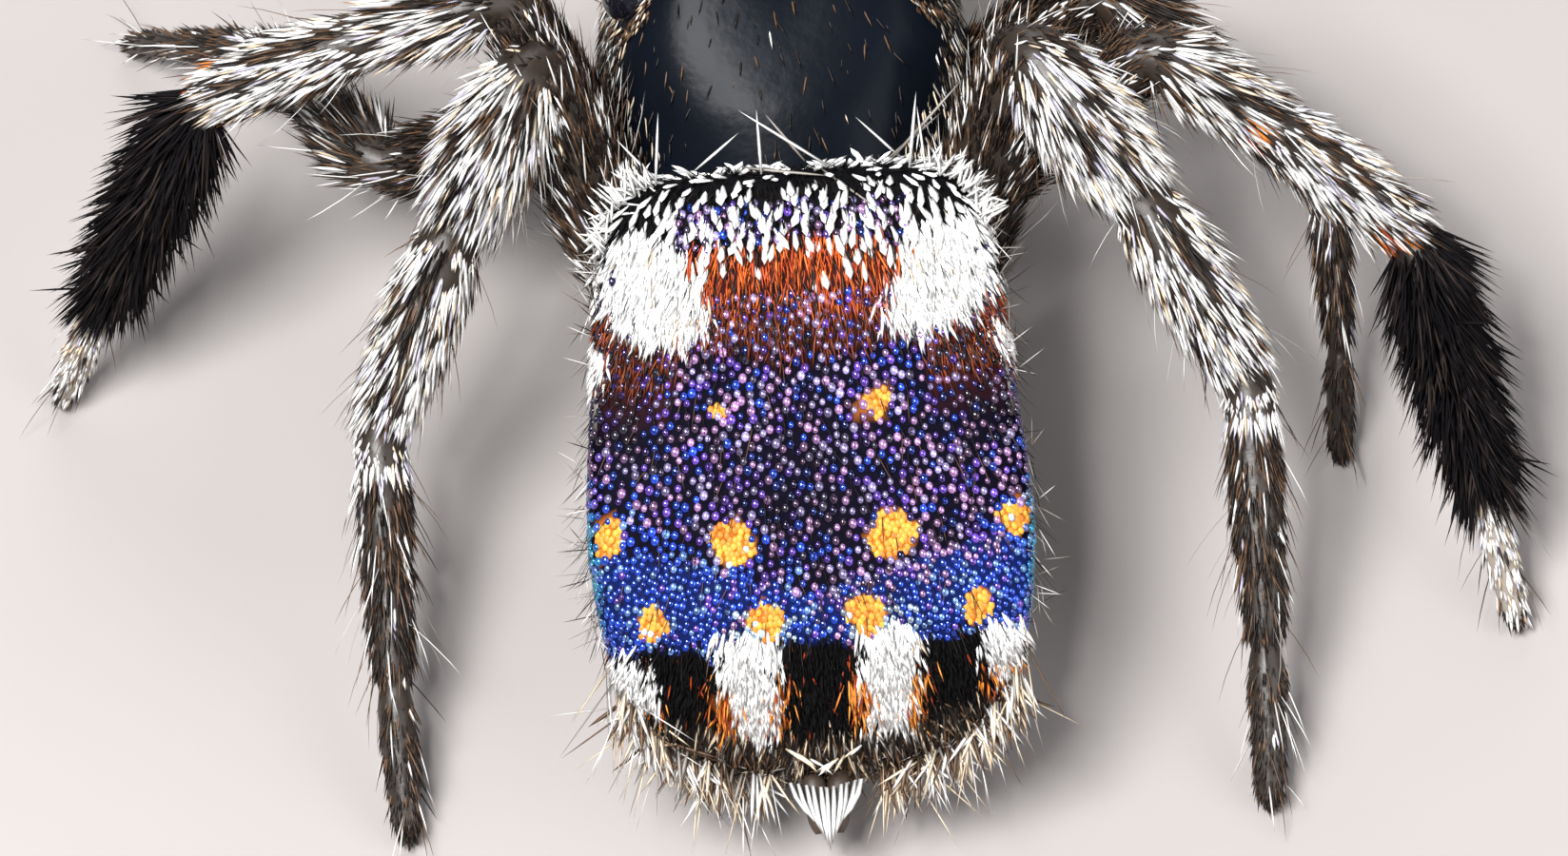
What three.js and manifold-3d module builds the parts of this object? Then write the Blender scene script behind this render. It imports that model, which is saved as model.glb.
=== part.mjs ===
// A male peacock spider at life size, standing still on eight feet.
// Millimetres, +Z up. It faces -Y and its left side is +X. The floor is z = 0.
import * as THREE from "three";
import { mergeVertices } from "three/addons/utils/BufferGeometryUtils.js";
import Module from "manifold-3d";

const wasm = await Module();
wasm.setup();

// Driving sizes
const GAP = 0.03; // the clearance between two neighbouring pieces
const FINEST = 0.01; // edges shorter than this are closed up after the cuts
const FLOOR_FLAT = 0.055; // how high the centre of a foot's round end stands over the floor

const CARAPACE = {
  back: -0.06,
  front: -2.3,
  rim: 0.94, // the height of its lower edge
  halfWidth: { head: 0.7, middle: 0.84, back: 0.52 },
  square: { head: 4.5, back: 2.3 }, // 2 is an ellipse, and more is squarer
  flatness: 0.5, // how soon the sides turn into the flat top
  steepness: 0.85,
  sag: 0.05, // how far the underside hangs below the rim
  crest: [ // the height of the top at each place along the body
    [-2.3, 1.74],
    [-1.75, 1.9],
    [-1.25, 1.88],
    [-0.75, 1.62],
    [-0.06, 1.16],
  ],
};
const STERNUM = { y: -1.12, z: 0.77, halfWidth: 0.4, halfLength: 0.86, halfDepth: 0.15 };
const EYES = {
  front_middle: { x: 0.265, y: -2.19, z: 1.46, radius: 0.25, columns: 12 },
  front_side: { x: 0.64, y: -2.03, z: 1.53, radius: 0.14, columns: 10 },
  tiny: { x: 0.735, y: -1.72, z: 1.62, radius: 0.055, columns: 6 },
  rear: { x: 0.655, y: -1.36, z: 1.68, radius: 0.13, columns: 10 },
};
const JAW = { x: 0.2, y: -2.2, z: 0.9, halfWidth: 0.165, halfDepth: 0.18, halfHeight: 0.36 };
const PALP = {
  root: [0.52, -2.05, 0.68], // under the shield's edge, clear of it and of the jaws
  elbow: [0.62, -2.62, 0.98],
  wrist: [0.5, -2.86, 0.86],
  tip: [0.42, -2.95, 0.4],
  radius: { root: 0.1, elbow: 0.12, wrist: 0.12, tip: 0.1 },
  belly: 0.05,
};
// The abdomen is laid out on its back plate: "across" is +X, "along" runs down the plate to the
// spinnerets, and "out" is the plate's outward normal, all from the middle of the plate.
const ABDOMEN = {
  middle: [0, 1.05, 1.75],
  slope: 34, // degrees that the plate falls towards the rear
  plate: { frontWidth: 0.84, rearWidth: 1.09, front: 1.15, rear: 1.55, frontSquare: 6, rearSquare: 2.6 },
  belly: { frontWidth: 0.6, rearWidth: 0.8, front: 0.84, rear: 1.35, frontSquare: 2.3, rearSquare: 2.2 },
  widening: 2.4, // the length over which the plate widens from its front edge
  flatness: { plate: 0.42, belly: 0.7 }, // how soon each face turns flat inside its outline
  dome: 0.09,
  shoulder: 0.2,
  depth: 1.12,
  fullness: 1.1,
  turnUnder: { from: -0.05, to: 0.9 }, // where the plate's outline turns into the belly's
  roll: { from: 0.75, bend: 0.62 }, // the plate rolls down behind this place along it
};
const PEDICEL = { from: [0, -0.16, 1.0], to: [0, 0.1, 1.3], radius: 0.13 };
const SPINNERETS = { along: 1.5, out: -0.52, length: 0.26, radius: 0.07, spread: 0.085 };

// Legs: a hip on the body, then a knee, an ankle and a foot that the photo places.
const HIP = { x: 0.3, z: 0.78, length: 0.44, radius: 0.165 };
const LEGS = {
  leg1: {
    hipY: -1.62,
    hipTurn: 48,
    left: { knee: [1.1, -2.39, 1.68], ankle: [1.74, -3.45, 1.0], foot: [2.0, -4.05] },
    right: { knee: [1.2, -2.3, 1.7], ankle: [2.05, -3.15, 1.0], foot: [2.45, -3.65] },
    radius: { knee: 0.15, patella: 0.13, ankle: 0.11, heel: 0.085, foot: 0.075 },
    belly: { femur: 0.06, patella: 0.03, tibia: 0.03, metatarsus: 0.01, tarsus: 0.01 },
    density: 0.65,
    patellaShare: 0.42,
    heelShare: 0.6,
  },
  leg2: {
    hipY: -1.24,
    hipTurn: 14,
    left: { knee: [1.8, -0.85, 1.2], ankle: [2.3, -1.75, 0.9], foot: [3.0, -2.45] },
    right: { knee: [1.42, -1.2, 1.72], ankle: [2.38, -0.61, 1.0], foot: [2.38, 0.25] },
    radius: { knee: 0.15, patella: 0.13, ankle: 0.11, heel: 0.085, foot: 0.075 },
    belly: { femur: 0.06, patella: 0.03, tibia: 0.03, metatarsus: 0.01, tarsus: 0.01 },
    density: 0.65,
    patellaShare: 0.42,
    heelShare: 0.6,
  },
  leg3: {
    hipY: -0.85,
    hipTurn: -12,
    left: { knee: [1.2, -1.06, 2.12], ankle: [2.56, -0.99, 1.6], foot: [3.34, -0.48] },
    right: { knee: [1.6, -0.66, 2.0], ankle: [2.72, -0.16, 1.2], foot: [3.09, 1.19] },
    radius: { knee: 0.155, patella: 0.15, ankle: 0.135, heel: 0.095, foot: 0.08 },
    belly: { femur: 0.06, patella: 0.02, tibia: 0.03, metatarsus: 0.02, tarsus: 0.015 },
    density: 1.0,
    patellaShare: 0.4,
    heelShare: 0.63,
  },
  leg4: {
    hipY: -0.45,
    hipTurn: -34,
    left: { knee: [1.08, -0.8, 2.0], ankle: [1.86, 0.41, 1.0], foot: [1.84, 1.95] },
    right: { knee: [1.06, -0.74, 2.0], ankle: [1.95, 0.48, 1.1], foot: [1.93, 2.05] },
    radius: { knee: 0.17, patella: 0.165, ankle: 0.145, heel: 0.11, foot: 0.085 },
    belly: { femur: 0.05, patella: 0.065, tibia: 0.035, metatarsus: 0.01, tarsus: 0.01 },
    density: 1.2,
    patellaShare: 0.46,
    heelShare: 0.64,
  },
};
const BOW = 0.05; // how far the middle joint of a straight pair of segments stands out
const SWELL_AT = [0.33, 0.7]; // where a segment gets a station between its two ends

// Locks of bristles: flat tapered wedges, rooted in the piece that they grow from. "lean" is the
// angle in degrees between a lock and the skin that it grows from.
const LOCKS = {
  femur: { count: 10, length: 0.24, width: 0.075, thickness: 0.045, lean: 24, from: 0.3, to: 0.85 },
  patella: { count: 12, length: 0.23, width: 0.075, thickness: 0.045, lean: 26, from: 0.05, to: 0.85 },
  tibia: { count: 14, length: 0.24, width: 0.075, thickness: 0.045, lean: 28, from: 0.05, to: 0.85 },
  metatarsus: { count: 10, length: 0.2, width: 0.06, thickness: 0.035, lean: 22, from: 0.06, to: 0.5 },
  tarsus: { count: 7, length: 0.14, width: 0.055, thickness: 0.035, lean: 22, from: 0.55, to: 0.9 },
  brush: { count: 26, length: 0.32, width: 0.13, thickness: 0.06, lean: 26, from: 0.04, to: 0.86 },
  sock: { count: 12, length: 0.2, width: 0.08, thickness: 0.045, lean: 22, from: 0.1, to: 0.8 },
  palp: { count: 14, length: 0.2, width: 0.07, thickness: 0.045, lean: 24, from: 0.1, to: 0.8 },
  brow: { count: 9, length: 0.38, width: 0.08, thickness: 0.05 },
  plateFront: { count: 12, length: 0.34, width: 0.06, thickness: 0.04 },
  plateSide: { count: 9, length: 0.22, width: 0.06, thickness: 0.04 },
  plateRear: { count: 11, length: 0.3, width: 0.09, thickness: 0.05 },
  spinneret: { count: 9, length: 0.3, width: 0.09, thickness: 0.05 },
};

const LOCK_GROWTH = 0.25; // the share by which locks differ in length
const LOCK_FULLNESS = 0.6; // how much slower than a plain cone a lock tapers
const LOCK_TURN = 2.4; // radians from one lock to the next round a limb
const LOCK_ROOT = { depth: 0.8, back: 0.03 }; // the share of the limb's radius, and back from the tip
const BROW = { halfWidth: 0.56, y: -1.98, z: 1.63, fall: 0.25 };
const FAN = { width: 0.07, start: 0.06, spread: 0.45 };

const vec = (a) => new THREE.Vector3(...a);
const mix = (a, b, s) => a + (b - a) * s;
const rad = THREE.MathUtils.degToRad;
const power = (v, p) => Math.sign(v) * Math.abs(v) ** p;

// The locks round the plate, by their angle in degrees from the middle of its rear.
const FRINGE = [
  { size: LOCKS.plateRear, from: 8, to: 66, up: 0.15 },
  { size: LOCKS.plateSide, from: 70, to: 124, up: 0.1 },
  { size: LOCKS.plateFront, from: 128, to: 177, up: 0.35 },
];
const FRINGE_ROOT = 0.12; // the share of the way in from the edge at which its locks start

// A copy of a geometry with its seams and poles merged.
function merge(geometry) {
  const bare = geometry.clone();
  bare.deleteAttribute("normal");
  bare.deleteAttribute("uv");
  return mergeVertices(bare, 1e-5);
}

// A geometry as a manifold-3d solid, facing out.
function solid(geometry) {
  const merged = merge(geometry);
  const triVerts = new Uint32Array(merged.index.array);
  const vertProperties = merged.attributes.position.array;
  const build = () => new wasm.Manifold(new wasm.Mesh({ numProp: 3, vertProperties, triVerts }));
  const made = build();
  if (made.volume() > 0) return made;
  for (let i = 0; i < triVerts.length; i += 3)
    [triVerts[i + 1], triVerts[i + 2]] = [triVerts[i + 2], triVerts[i + 1]];
  return build();
}

// The largest closed body of a solid, so that no loose scrap stays.
function largest(made) {
  const bodies = made.decompose();
  return bodies.reduce((a, b) => (b.volume() > a.volume() ? b : a));
}

function fuse(solids) {
  return largest(wasm.Manifold.union(solids));
}

// The same run of numbers between 0 and 1 on every build.
function seeded(seed) {
  return () => (seed = (seed * 16807) % 2147483647) / 2147483647;
}
const chance = seeded(4711);
const spread = (by) => (chance() - 0.5) * 2 * by;

// One lock: a flat cone from "start" towards "way", thin along "flat".
function lock(start, way, flat, size) {
  const ahead = way.clone().normalize();
  const thin = flat.clone().addScaledVector(ahead, -flat.dot(ahead)).normalize();
  const wide = ahead.clone().cross(thin);
  const length = size.length * (1 + spread(LOCK_GROWTH));
  const cone = new THREE.ConeGeometry(0.5, 1, 3).translate(0, 0.5, 0);
  return solid(
    shaped(cone, (v) => {
      const full = 1 + LOCK_FULLNESS * v.y;
      return start
        .clone()
        .addScaledVector(ahead, length * v.y)
        .addScaledVector(wide, v.x * size.width * full)
        .addScaledVector(thin, v.z * size.thickness * full);
    }),
  );
}

// The geometry moved out along its normals, used to keep the clearance to a neighbour.
function swollen(geometry, by) {
  const merged = merge(geometry);
  merged.computeVertexNormals();
  const p = merged.attributes.position;
  const n = merged.attributes.normal;
  for (let i = 0; i < p.count; i++) {
    const v = new THREE.Vector3().fromBufferAttribute(p, i);
    v.addScaledVector(new THREE.Vector3().fromBufferAttribute(n, i), by);
    p.setXYZ(i, v.x, v.y, v.z);
  }
  return merged;
}

// Moves every vertex of a geometry by a function of its place.
function shaped(geometry, place) {
  const p = geometry.attributes.position;
  for (let i = 0; i < p.count; i++) {
    const v = place(new THREE.Vector3(p.getX(i), p.getY(i), p.getZ(i)));
    p.setXYZ(i, v.x, v.y, v.z);
  }
  return geometry;
}

function ball(centre, radii, columns, rows) {
  return new THREE.SphereGeometry(1, columns, rows).scale(...radii).translate(...centre);
}

// A round-ended tube through stations [point, radius], bent in the plane that "side" stands on.
// It is turned straight, with its stations far apart, and each ring is then put in its place.
function tube(stations, side, sides = 7) {
  const apart = 10;
  const bend = rad(48);
  const profile = [];
  const [first, last] = [stations[0][1], stations.at(-1)[1]];
  profile.push(new THREE.Vector2(0, -first));
  profile.push(new THREE.Vector2(first * Math.sin(bend), -first * Math.cos(bend)));
  stations.forEach(([, r], i) => profile.push(new THREE.Vector2(r, i * apart)));
  const end = (stations.length - 1) * apart;
  profile.push(new THREE.Vector2(last * Math.sin(bend), end + last * Math.cos(bend)));
  profile.push(new THREE.Vector2(0, end + last));
  const ways = stations.slice(1).map(([p], i) => p.clone().sub(stations[i][0]).normalize());
  return shaped(new THREE.LatheGeometry(profile, sides), (v) => {
    const i = THREE.MathUtils.clamp(Math.round(v.y / apart), 0, stations.length - 1);
    const way = ways[Math.max(0, i - 1)].clone().add(ways[Math.min(ways.length - 1, i)]).normalize();
    const across = side.clone().addScaledVector(way, -side.dot(way)).normalize();
    const up = across.clone().cross(way);
    return stations[i][0]
      .clone()
      .addScaledVector(way, v.y - i * apart)
      .addScaledVector(across, v.x)
      .addScaledVector(up, v.z);
  });
}

// Stations between two joints, thicker in the middle by "belly".
function swell(from, to, startRadius, endRadius, belly) {
  return SWELL_AT.map((s) => [
    from.clone().lerp(to, s),
    mix(startRadius, endRadius, s) + belly * Math.sin(Math.PI * s),
  ]);
}

// Locks all round a tube, each leaning towards the tube's far end.
function locksRound(stations, side, size, density = 1) {
  const last = stations.length - 1;
  const count = Math.round(size.count * density);
  return Array.from({ length: count }, (_, i) => {
    const s = mix(size.from, size.to, (i + 0.5 + spread(0.4)) / count) * last;
    const k = Math.min(last - 1, Math.floor(s));
    const [a, b] = [stations[k], stations[k + 1]];
    const way = b[0].clone().sub(a[0]).normalize();
    const turn = i * LOCK_TURN + spread(0.5);
    const out = side.clone().cross(way).normalize().applyAxisAngle(way, turn);
    const radius = mix(a[1], b[1], s - k);
    const lean = rad(size.lean);
    const ahead = way.clone().multiplyScalar(Math.cos(lean)).addScaledVector(out, Math.sin(lean));
    const start = a[0].clone().lerp(b[0], s - k).addScaledVector(out, radius * LOCK_ROOT.depth);
    return lock(start.addScaledVector(way, -LOCK_ROOT.back), ahead, out, size);
  });
}

// Cuts a limb at a joint, half a clearance short of the plane that halves the bend there.
function cutAtJoint(made, joint, before, after, keepAfter) {
  const normal = before.clone().add(after).normalize();
  const at = normal.dot(joint);
  return keepAfter
    ? made.trimByPlane(normal.toArray(), at + GAP / 2)
    : made.trimByPlane(normal.clone().negate().toArray(), GAP / 2 - at);
}

const root = new THREE.Group();

function add(name, made, color, roughness, metalness = 0) {
  const data = largest(made.simplify(FINEST)).getMesh();
  const geometry = new THREE.BufferGeometry()
    .setAttribute("position", new THREE.BufferAttribute(new Float32Array(data.vertProperties), 3))
    .setIndex(new THREE.BufferAttribute(new Uint32Array(data.triVerts), 1));
  const mesh = new THREE.Mesh(
    geometry,
    new THREE.MeshStandardMaterial({ color, roughness, metalness, flatShading: true }),
  );
  mesh.name = name;
  root.add(mesh);
}

const COLOURS = {
  shell: 0x14110f,
  eye: 0x05060a,
  legs: 0x8a8078,
  brush: 0x0d0b0c,
  sock: 0xe8e4dc,
  plate: 0x2a1f6e,
  belly: 0x4a3f36,
  palp: 0xcfc4b2,
};

// Carapace: a steep-sided shield with a flat head and a back that slopes to the waist
function crestAt(y) {
  const rows = CARAPACE.crest;
  const i = Math.max(1, rows.findIndex((r) => r[0] >= y));
  const [y0, z0] = rows[i - 1];
  const [y1, z1] = rows[i];
  const s = THREE.MathUtils.smoothstep(y, y0, y1);
  return mix(z0, z1, mix((y - y0) / (y1 - y0), s, 0.4));
}

function carapacePlace(v) {
  const { back, front, rim, halfWidth, square, flatness, steepness, sag } = CARAPACE;
  const ring = Math.hypot(v.x, v.y) || 1e-9;
  const [sin, cos] = [v.x / ring, v.y / ring];
  const end = cos > 0 ? halfWidth.back : halfWidth.head;
  const width = mix(halfWidth.middle, end, cos * cos);
  const p = cos > 0 ? square.back : mix(square.back, square.head, Math.min(1, -2 * cos));
  const length = (back - front) / 2;
  const edge = (Math.abs(sin / width) ** p + Math.abs(cos / length) ** p) ** (-1 / p);
  const reached = edge * ring ** flatness;
  const y = (back + front) / 2 + reached * cos;
  const z = v.z > 0 ? mix(rim, crestAt(y), v.z ** steepness) : rim + sag * v.z;
  return new THREE.Vector3(reached * sin, y, z);
}

const carapaceShape = shaped(new THREE.SphereGeometry(1, 24, 14).rotateX(Math.PI / 2), carapacePlace);
let carapace = solid(carapaceShape);
const carapaceClear = solid(swollen(carapaceShape, GAP));

for (const [name, eye] of Object.entries(EYES)) {
  for (const [side, sign] of [
    ["left", 1],
    ["right", -1],
  ]) {
    const centre = [sign * eye.x, eye.y, eye.z];
    const { radius, columns } = eye;
    const lens = ball(centre, [radius, radius, radius], columns, Math.round(columns * 0.7));
    carapace = carapace.subtract(solid(swollen(lens, GAP)));
    add(`eye_${name}_${side}`, solid(lens), COLOURS.eye, 0.08);
  }
}

const sternumShape = ball(
  [0, STERNUM.y, STERNUM.z],
  [STERNUM.halfWidth, STERNUM.halfLength, STERNUM.halfDepth],
  12,
  6,
);
const sternum = solid(sternumShape).subtract(carapaceClear);
const sternumClear = solid(swollen(sternumShape, GAP));

// Waist
const ACROSS = new THREE.Vector3(1, 0, 0);
const pedicelShape = tube(
  [
    [vec(PEDICEL.from), PEDICEL.radius],
    [vec(PEDICEL.to), PEDICEL.radius],
  ],
  ACROSS,
  9,
);

// Abdomen
const slope = rad(ABDOMEN.slope);
const plateAlong = new THREE.Vector3(0, Math.cos(slope), -Math.sin(slope));
const plateOut = new THREE.Vector3(0, Math.sin(slope), Math.cos(slope));

function fromPlate(across, along, out) {
  return vec(ABDOMEN.middle)
    .addScaledVector(ACROSS, across)
    .addScaledVector(plateAlong, along)
    .addScaledVector(plateOut, out);
}

// A rounded-rectangle outline, drawn through its own parameter so that the corners get the points.
function outline(shape, sin, cos) {
  const length = cos > 0 ? shape.rear : shape.front;
  const p = 2 / (cos > 0 ? shape.rearSquare : shape.frontSquare);
  const along = length * power(cos, p);
  const widened = Math.min(1, (along + shape.front) / ABDOMEN.widening);
  const width = mix(shape.frontWidth, shape.rearWidth, widened);
  return [width * power(sin, p), along];
}

function abdomenPlace(v) {
  const { plate, belly, flatness, dome, shoulder, depth, fullness, turnUnder, roll } = ABDOMEN;
  const ring = Math.hypot(v.x, v.y) || 1e-9;
  const [sin, cos] = [v.x / ring, v.y / ring];
  const low = THREE.MathUtils.smoothstep(-v.z, turnUnder.from, turnUnder.to);
  const top = outline(plate, sin, cos);
  const base = outline(belly, sin, cos);
  const shrink = ring ** (v.z > 0 ? flatness.plate : flatness.belly);
  const edge = dome + shoulder;
  const out =
    v.z > 0
      ? -dome * (1 - v.z) - shoulder * (1 - v.z ** 0.5) ** 2
      : -edge - (depth - edge) * Math.abs(v.z) ** fullness;
  const along = mix(top[1], base[1], low) * shrink;
  const rolled = roll.bend * Math.max(0, along - roll.from) ** 2 * (1 - low);
  return fromPlate(mix(top[0], base[0], low) * shrink, along, out - rolled);
}

const abdomenShape = shaped(new THREE.SphereGeometry(1, 28, 18).rotateX(Math.PI / 2), abdomenPlace);
const abdomenClear = solid(swollen(abdomenShape, GAP));

// A lock at the edge of the plate, pointing out of it.
function fringeLock(angle, up, size) {
  const edge = abdomenPlace(new THREE.Vector3(Math.sin(angle), Math.cos(angle), 0.03).normalize());
  const inner = abdomenPlace(new THREE.Vector3(0.72 * Math.sin(angle), 0.72 * Math.cos(angle), 0.5));
  const stray = new THREE.Vector3(spread(0.15), spread(0.15), spread(0.15));
  const way = edge.clone().sub(inner).normalize().addScaledVector(plateOut, up).add(stray);
  return lock(edge.lerp(inner, FRINGE_ROOT), way, plateOut, size);
}

function plateFringe() {
  const locks = [];
  for (const { size, from, to, up } of FRINGE)
    for (let i = 0; i < size.count; i++)
      for (const sign of [-1, 1]) {
        const angle = rad(mix(from, to, (i + 0.5) / size.count));
        locks.push(fringeLock(sign * angle, up, size));
      }
  return locks;
}

// Spinnerets: four short nozzles in two rows, under a fan of locks
const spinneretBase = fromPlate(0, SPINNERETS.along, SPINNERETS.out);
const nozzles = [
  [-1, 0.6],
  [1, 0.6],
  [-1, -0.8],
  [1, -0.8],
].map(([across, out]) => {
  const start = spinneretBase
    .clone()
    .addScaledVector(ACROSS, across * SPINNERETS.spread * 0.7)
    .addScaledVector(plateOut, out * SPINNERETS.spread);
  const end = start
    .clone()
    .addScaledVector(plateAlong, SPINNERETS.length)
    .addScaledVector(ACROSS, -across * 0.02);
  const { radius } = SPINNERETS;
  return solid(tube([[start, radius], [end, radius * 0.7]], ACROSS, 6));
});
const fan = Array.from({ length: LOCKS.spinneret.count }, (_, i) => {
  const across = mix(-1, 1, i / (LOCKS.spinneret.count - 1));
  const start = spinneretBase
    .clone()
    .addScaledVector(ACROSS, across * FAN.width)
    .addScaledVector(plateAlong, FAN.start)
    .addScaledVector(plateOut, 0.02);
  const way = plateAlong
    .clone()
    .addScaledVector(ACROSS, across * FAN.spread)
    .addScaledVector(plateOut, spread(0.25));
  return lock(start, way, plateOut, LOCKS.spinneret);
});

// Brow: a row of locks over the front eyes
const brow = Array.from({ length: LOCKS.brow.count }, (_, i) => {
  const x = mix(-BROW.halfWidth, BROW.halfWidth, i / (LOCKS.brow.count - 1));
  const start = new THREE.Vector3(x, BROW.y, BROW.z - BROW.fall * x * x);
  return lock(start, new THREE.Vector3(x * 0.5, -0.5, 0.85), new THREE.Vector3(0, 0.5, 1), LOCKS.brow);
});

const pedicelClear = solid(swollen(pedicelShape, GAP));
add("carapace", fuse([carapace, ...brow]).subtract(pedicelClear), COLOURS.shell, 0.3);
add("sternum", sternum, COLOURS.shell, 0.45);
const pedicel = solid(pedicelShape).subtract(abdomenClear).subtract(sternumClear);
add("waist", pedicel, COLOURS.shell, 0.4);
add("abdomen", fuse([solid(abdomenShape), ...plateFringe()]), COLOURS.plate, 0.45);
add("spinnerets", fuse([...nozzles, ...fan]).subtract(abdomenClear), COLOURS.sock, 0.7);

// Jaws and palps
for (const [side, sign] of [
  ["left", 1],
  ["right", -1],
]) {
  const jaw = ball([sign * JAW.x, JAW.y, JAW.z], [JAW.halfWidth, JAW.halfDepth, JAW.halfHeight], 10, 7);
  add(`jaw_${side}`, solid(jaw).subtract(carapaceClear).subtract(sternumClear), COLOURS.shell, 0.35);
  const at = (p) => new THREE.Vector3(sign * p[0], p[1], p[2]);
  const [start, elbow, wrist, tip] = [PALP.root, PALP.elbow, PALP.wrist, PALP.tip].map(at);
  const r = PALP.radius;
  const before = wrist.clone().sub(elbow).normalize();
  const after = tip.clone().sub(wrist).normalize();
  const armStations = [
    [start, r.root],
    [elbow, r.elbow],
    [wrist, r.wrist],
  ];
  const arm = solid(tube(armStations, ACROSS));
  add(`palp_arm_${side}`, cutAtJoint(arm, wrist, before, after, false), COLOURS.palp, 0.7);
  const tipStations = [[wrist, r.wrist], ...swell(wrist, tip, r.wrist, r.tip, PALP.belly), [tip, r.tip]];
  const swollenTip = fuse([
    solid(tube(tipStations, ACROSS)),
    ...locksRound(tipStations, ACROSS, LOCKS.palp),
  ]);
  add(`palp_tip_${side}`, cutAtJoint(swollenTip, wrist, before, after, true), COLOURS.palp, 0.7);
}

// Legs
function joints(leg, side) {
  const sign = side === "left" ? 1 : -1;
  const at = (p) => new THREE.Vector3(sign * p[0], p[1], p[2] ?? FLOOR_FLAT);
  const stance = leg[side];
  const hip = at([HIP.x, leg.hipY, HIP.z]);
  const turn = rad(leg.hipTurn);
  const trochanter = at([
    HIP.x + HIP.length * Math.cos(turn),
    leg.hipY - HIP.length * Math.sin(turn),
    HIP.z,
  ]);
  const [knee, ankle, foot] = [stance.knee, stance.ankle, stance.foot].map(at);
  const out = new THREE.Vector3(sign, 0, 1).normalize();
  const patellaEnd = knee.clone().lerp(ankle, leg.patellaShare).addScaledVector(out, BOW);
  const heel = ankle.clone().lerp(foot, leg.heelShare).addScaledVector(out, BOW / 2);
  return { hip, trochanter, knee, patellaEnd, ankle, heel, foot };
}

function addLeg(name, side) {
  const leg = LEGS[name];
  const j = joints(leg, side);
  const r = leg.radius;
  const plane = j.foot.clone().sub(j.trochanter).setZ(0).cross(new THREE.Vector3(0, 0, 1)).normalize();
  const links = {
    femur: [j.trochanter, j.knee, r.knee, r.knee],
    patella: [j.knee, j.patellaEnd, r.knee, r.patella],
    tibia: [j.patellaEnd, j.ankle, r.patella, r.ankle],
    metatarsus: [j.ankle, j.heel, r.ankle, r.heel],
    tarsus: [j.heel, j.foot, r.heel, r.foot],
  };
  const way = Object.values(links).map(([a, b]) => b.clone().sub(a).normalize());
  const stations = (part) => {
    const [a, b, ra, rb] = links[part];
    return [[a, ra], ...swell(a, b, ra, rb, leg.belly[part]), [b, rb]];
  };
  // One piece from link "first" to link "last" of the five, with its locks, cut at both joints.
  const piece = (list, first, last, ...sizes) => {
    const locks = sizes.flatMap((size) => locksRound(list, plane, size, leg.density));
    let made = fuse([solid(tube(list, plane)), ...locks]);
    if (first > 0) made = cutAtJoint(made, list[0][0], way[first - 1], way[first], true);
    if (last < 4) made = cutAtJoint(made, list.at(-1)[0], way[last], way[last + 1], false);
    return made.trimByPlane([0, 0, 1], 0);
  };
  const put = (part, made, color = COLOURS.legs) => add(`${name}_${side}_${part}`, made, color, 0.75);
  const femur = piece([[j.hip, HIP.radius], ...stations("femur")], 0, 0, LOCKS.femur);
  put("femur", femur.subtract(carapaceClear).subtract(sternumClear));
  put("patella", piece(stations("patella"), 1, 1, LOCKS.patella));
  put("tibia", piece(stations("tibia"), 2, 2, LOCKS.tibia));
  if (name === "leg3") {
    put("metatarsus", piece(stations("metatarsus"), 3, 3, LOCKS.brush), COLOURS.brush);
    put("tarsus", piece(stations("tarsus"), 4, 4, LOCKS.sock), COLOURS.sock);
  } else {
    const whole = [...stations("metatarsus"), ...stations("tarsus").slice(1)];
    put("foot", piece(whole, 3, 4, LOCKS.metatarsus, LOCKS.tarsus));
  }
}

for (const name of Object.keys(LEGS)) for (const side of ["left", "right"]) addLeg(name, side);

// The origin is on the floor under the middle of the whole.
const box = new THREE.Box3().setFromObject(root);
const middle = box.getCenter(new THREE.Vector3());
root.position.set(-middle.x, -middle.y, -box.min.z);

export default root;
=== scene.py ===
import math
from itertools import product

import bmesh
import bpy
import numpy as np
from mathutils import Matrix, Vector

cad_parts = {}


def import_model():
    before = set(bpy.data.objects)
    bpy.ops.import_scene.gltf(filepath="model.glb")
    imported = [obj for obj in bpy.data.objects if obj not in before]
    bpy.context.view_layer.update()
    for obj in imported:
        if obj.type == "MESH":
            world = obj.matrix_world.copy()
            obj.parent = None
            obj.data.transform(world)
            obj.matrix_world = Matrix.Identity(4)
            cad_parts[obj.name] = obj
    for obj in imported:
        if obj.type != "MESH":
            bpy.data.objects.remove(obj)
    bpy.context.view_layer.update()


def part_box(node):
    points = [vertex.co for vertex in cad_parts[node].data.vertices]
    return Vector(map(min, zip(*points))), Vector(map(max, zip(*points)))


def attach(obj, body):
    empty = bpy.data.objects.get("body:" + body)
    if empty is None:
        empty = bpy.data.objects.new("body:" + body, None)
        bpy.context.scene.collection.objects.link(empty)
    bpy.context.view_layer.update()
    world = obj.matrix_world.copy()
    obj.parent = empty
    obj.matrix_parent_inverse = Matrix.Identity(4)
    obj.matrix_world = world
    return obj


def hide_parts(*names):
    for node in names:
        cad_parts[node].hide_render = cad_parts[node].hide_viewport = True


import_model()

# Carapace
# The shield over the head and the leg muscles is one piece of hard black cuticle, polished on top
# and hairy down its sides. The eyes are let into it, and a row of bristles stands over them.

MM = 0.001
# Every place here is in the animal's own millimetres, which the left front eye ties to the frame.
EYE_HOME = (0.265, -2.19, 1.46)
eye_low, eye_high = (np.array(corner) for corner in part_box("eye_front_middle_left"))
HOME = (eye_low + eye_high) / 2 / MM - np.array(EYE_HOME)

CREST = ((-2.3, 1.74), (-1.75, 1.9), (-1.25, 1.88), (-0.75, 1.62), (-0.06, 1.16))
CARAPACE_BACK, CARAPACE_FRONT, CARAPACE_RIM = -0.06, -2.3, 0.94
CARAPACE_HALF_WIDTH = {"head": 0.7, "middle": 0.84, "back": 0.52}
CARAPACE_SQUARENESS = {"head": 4.5, "back": 2.3}  # 2 is an ellipse


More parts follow.
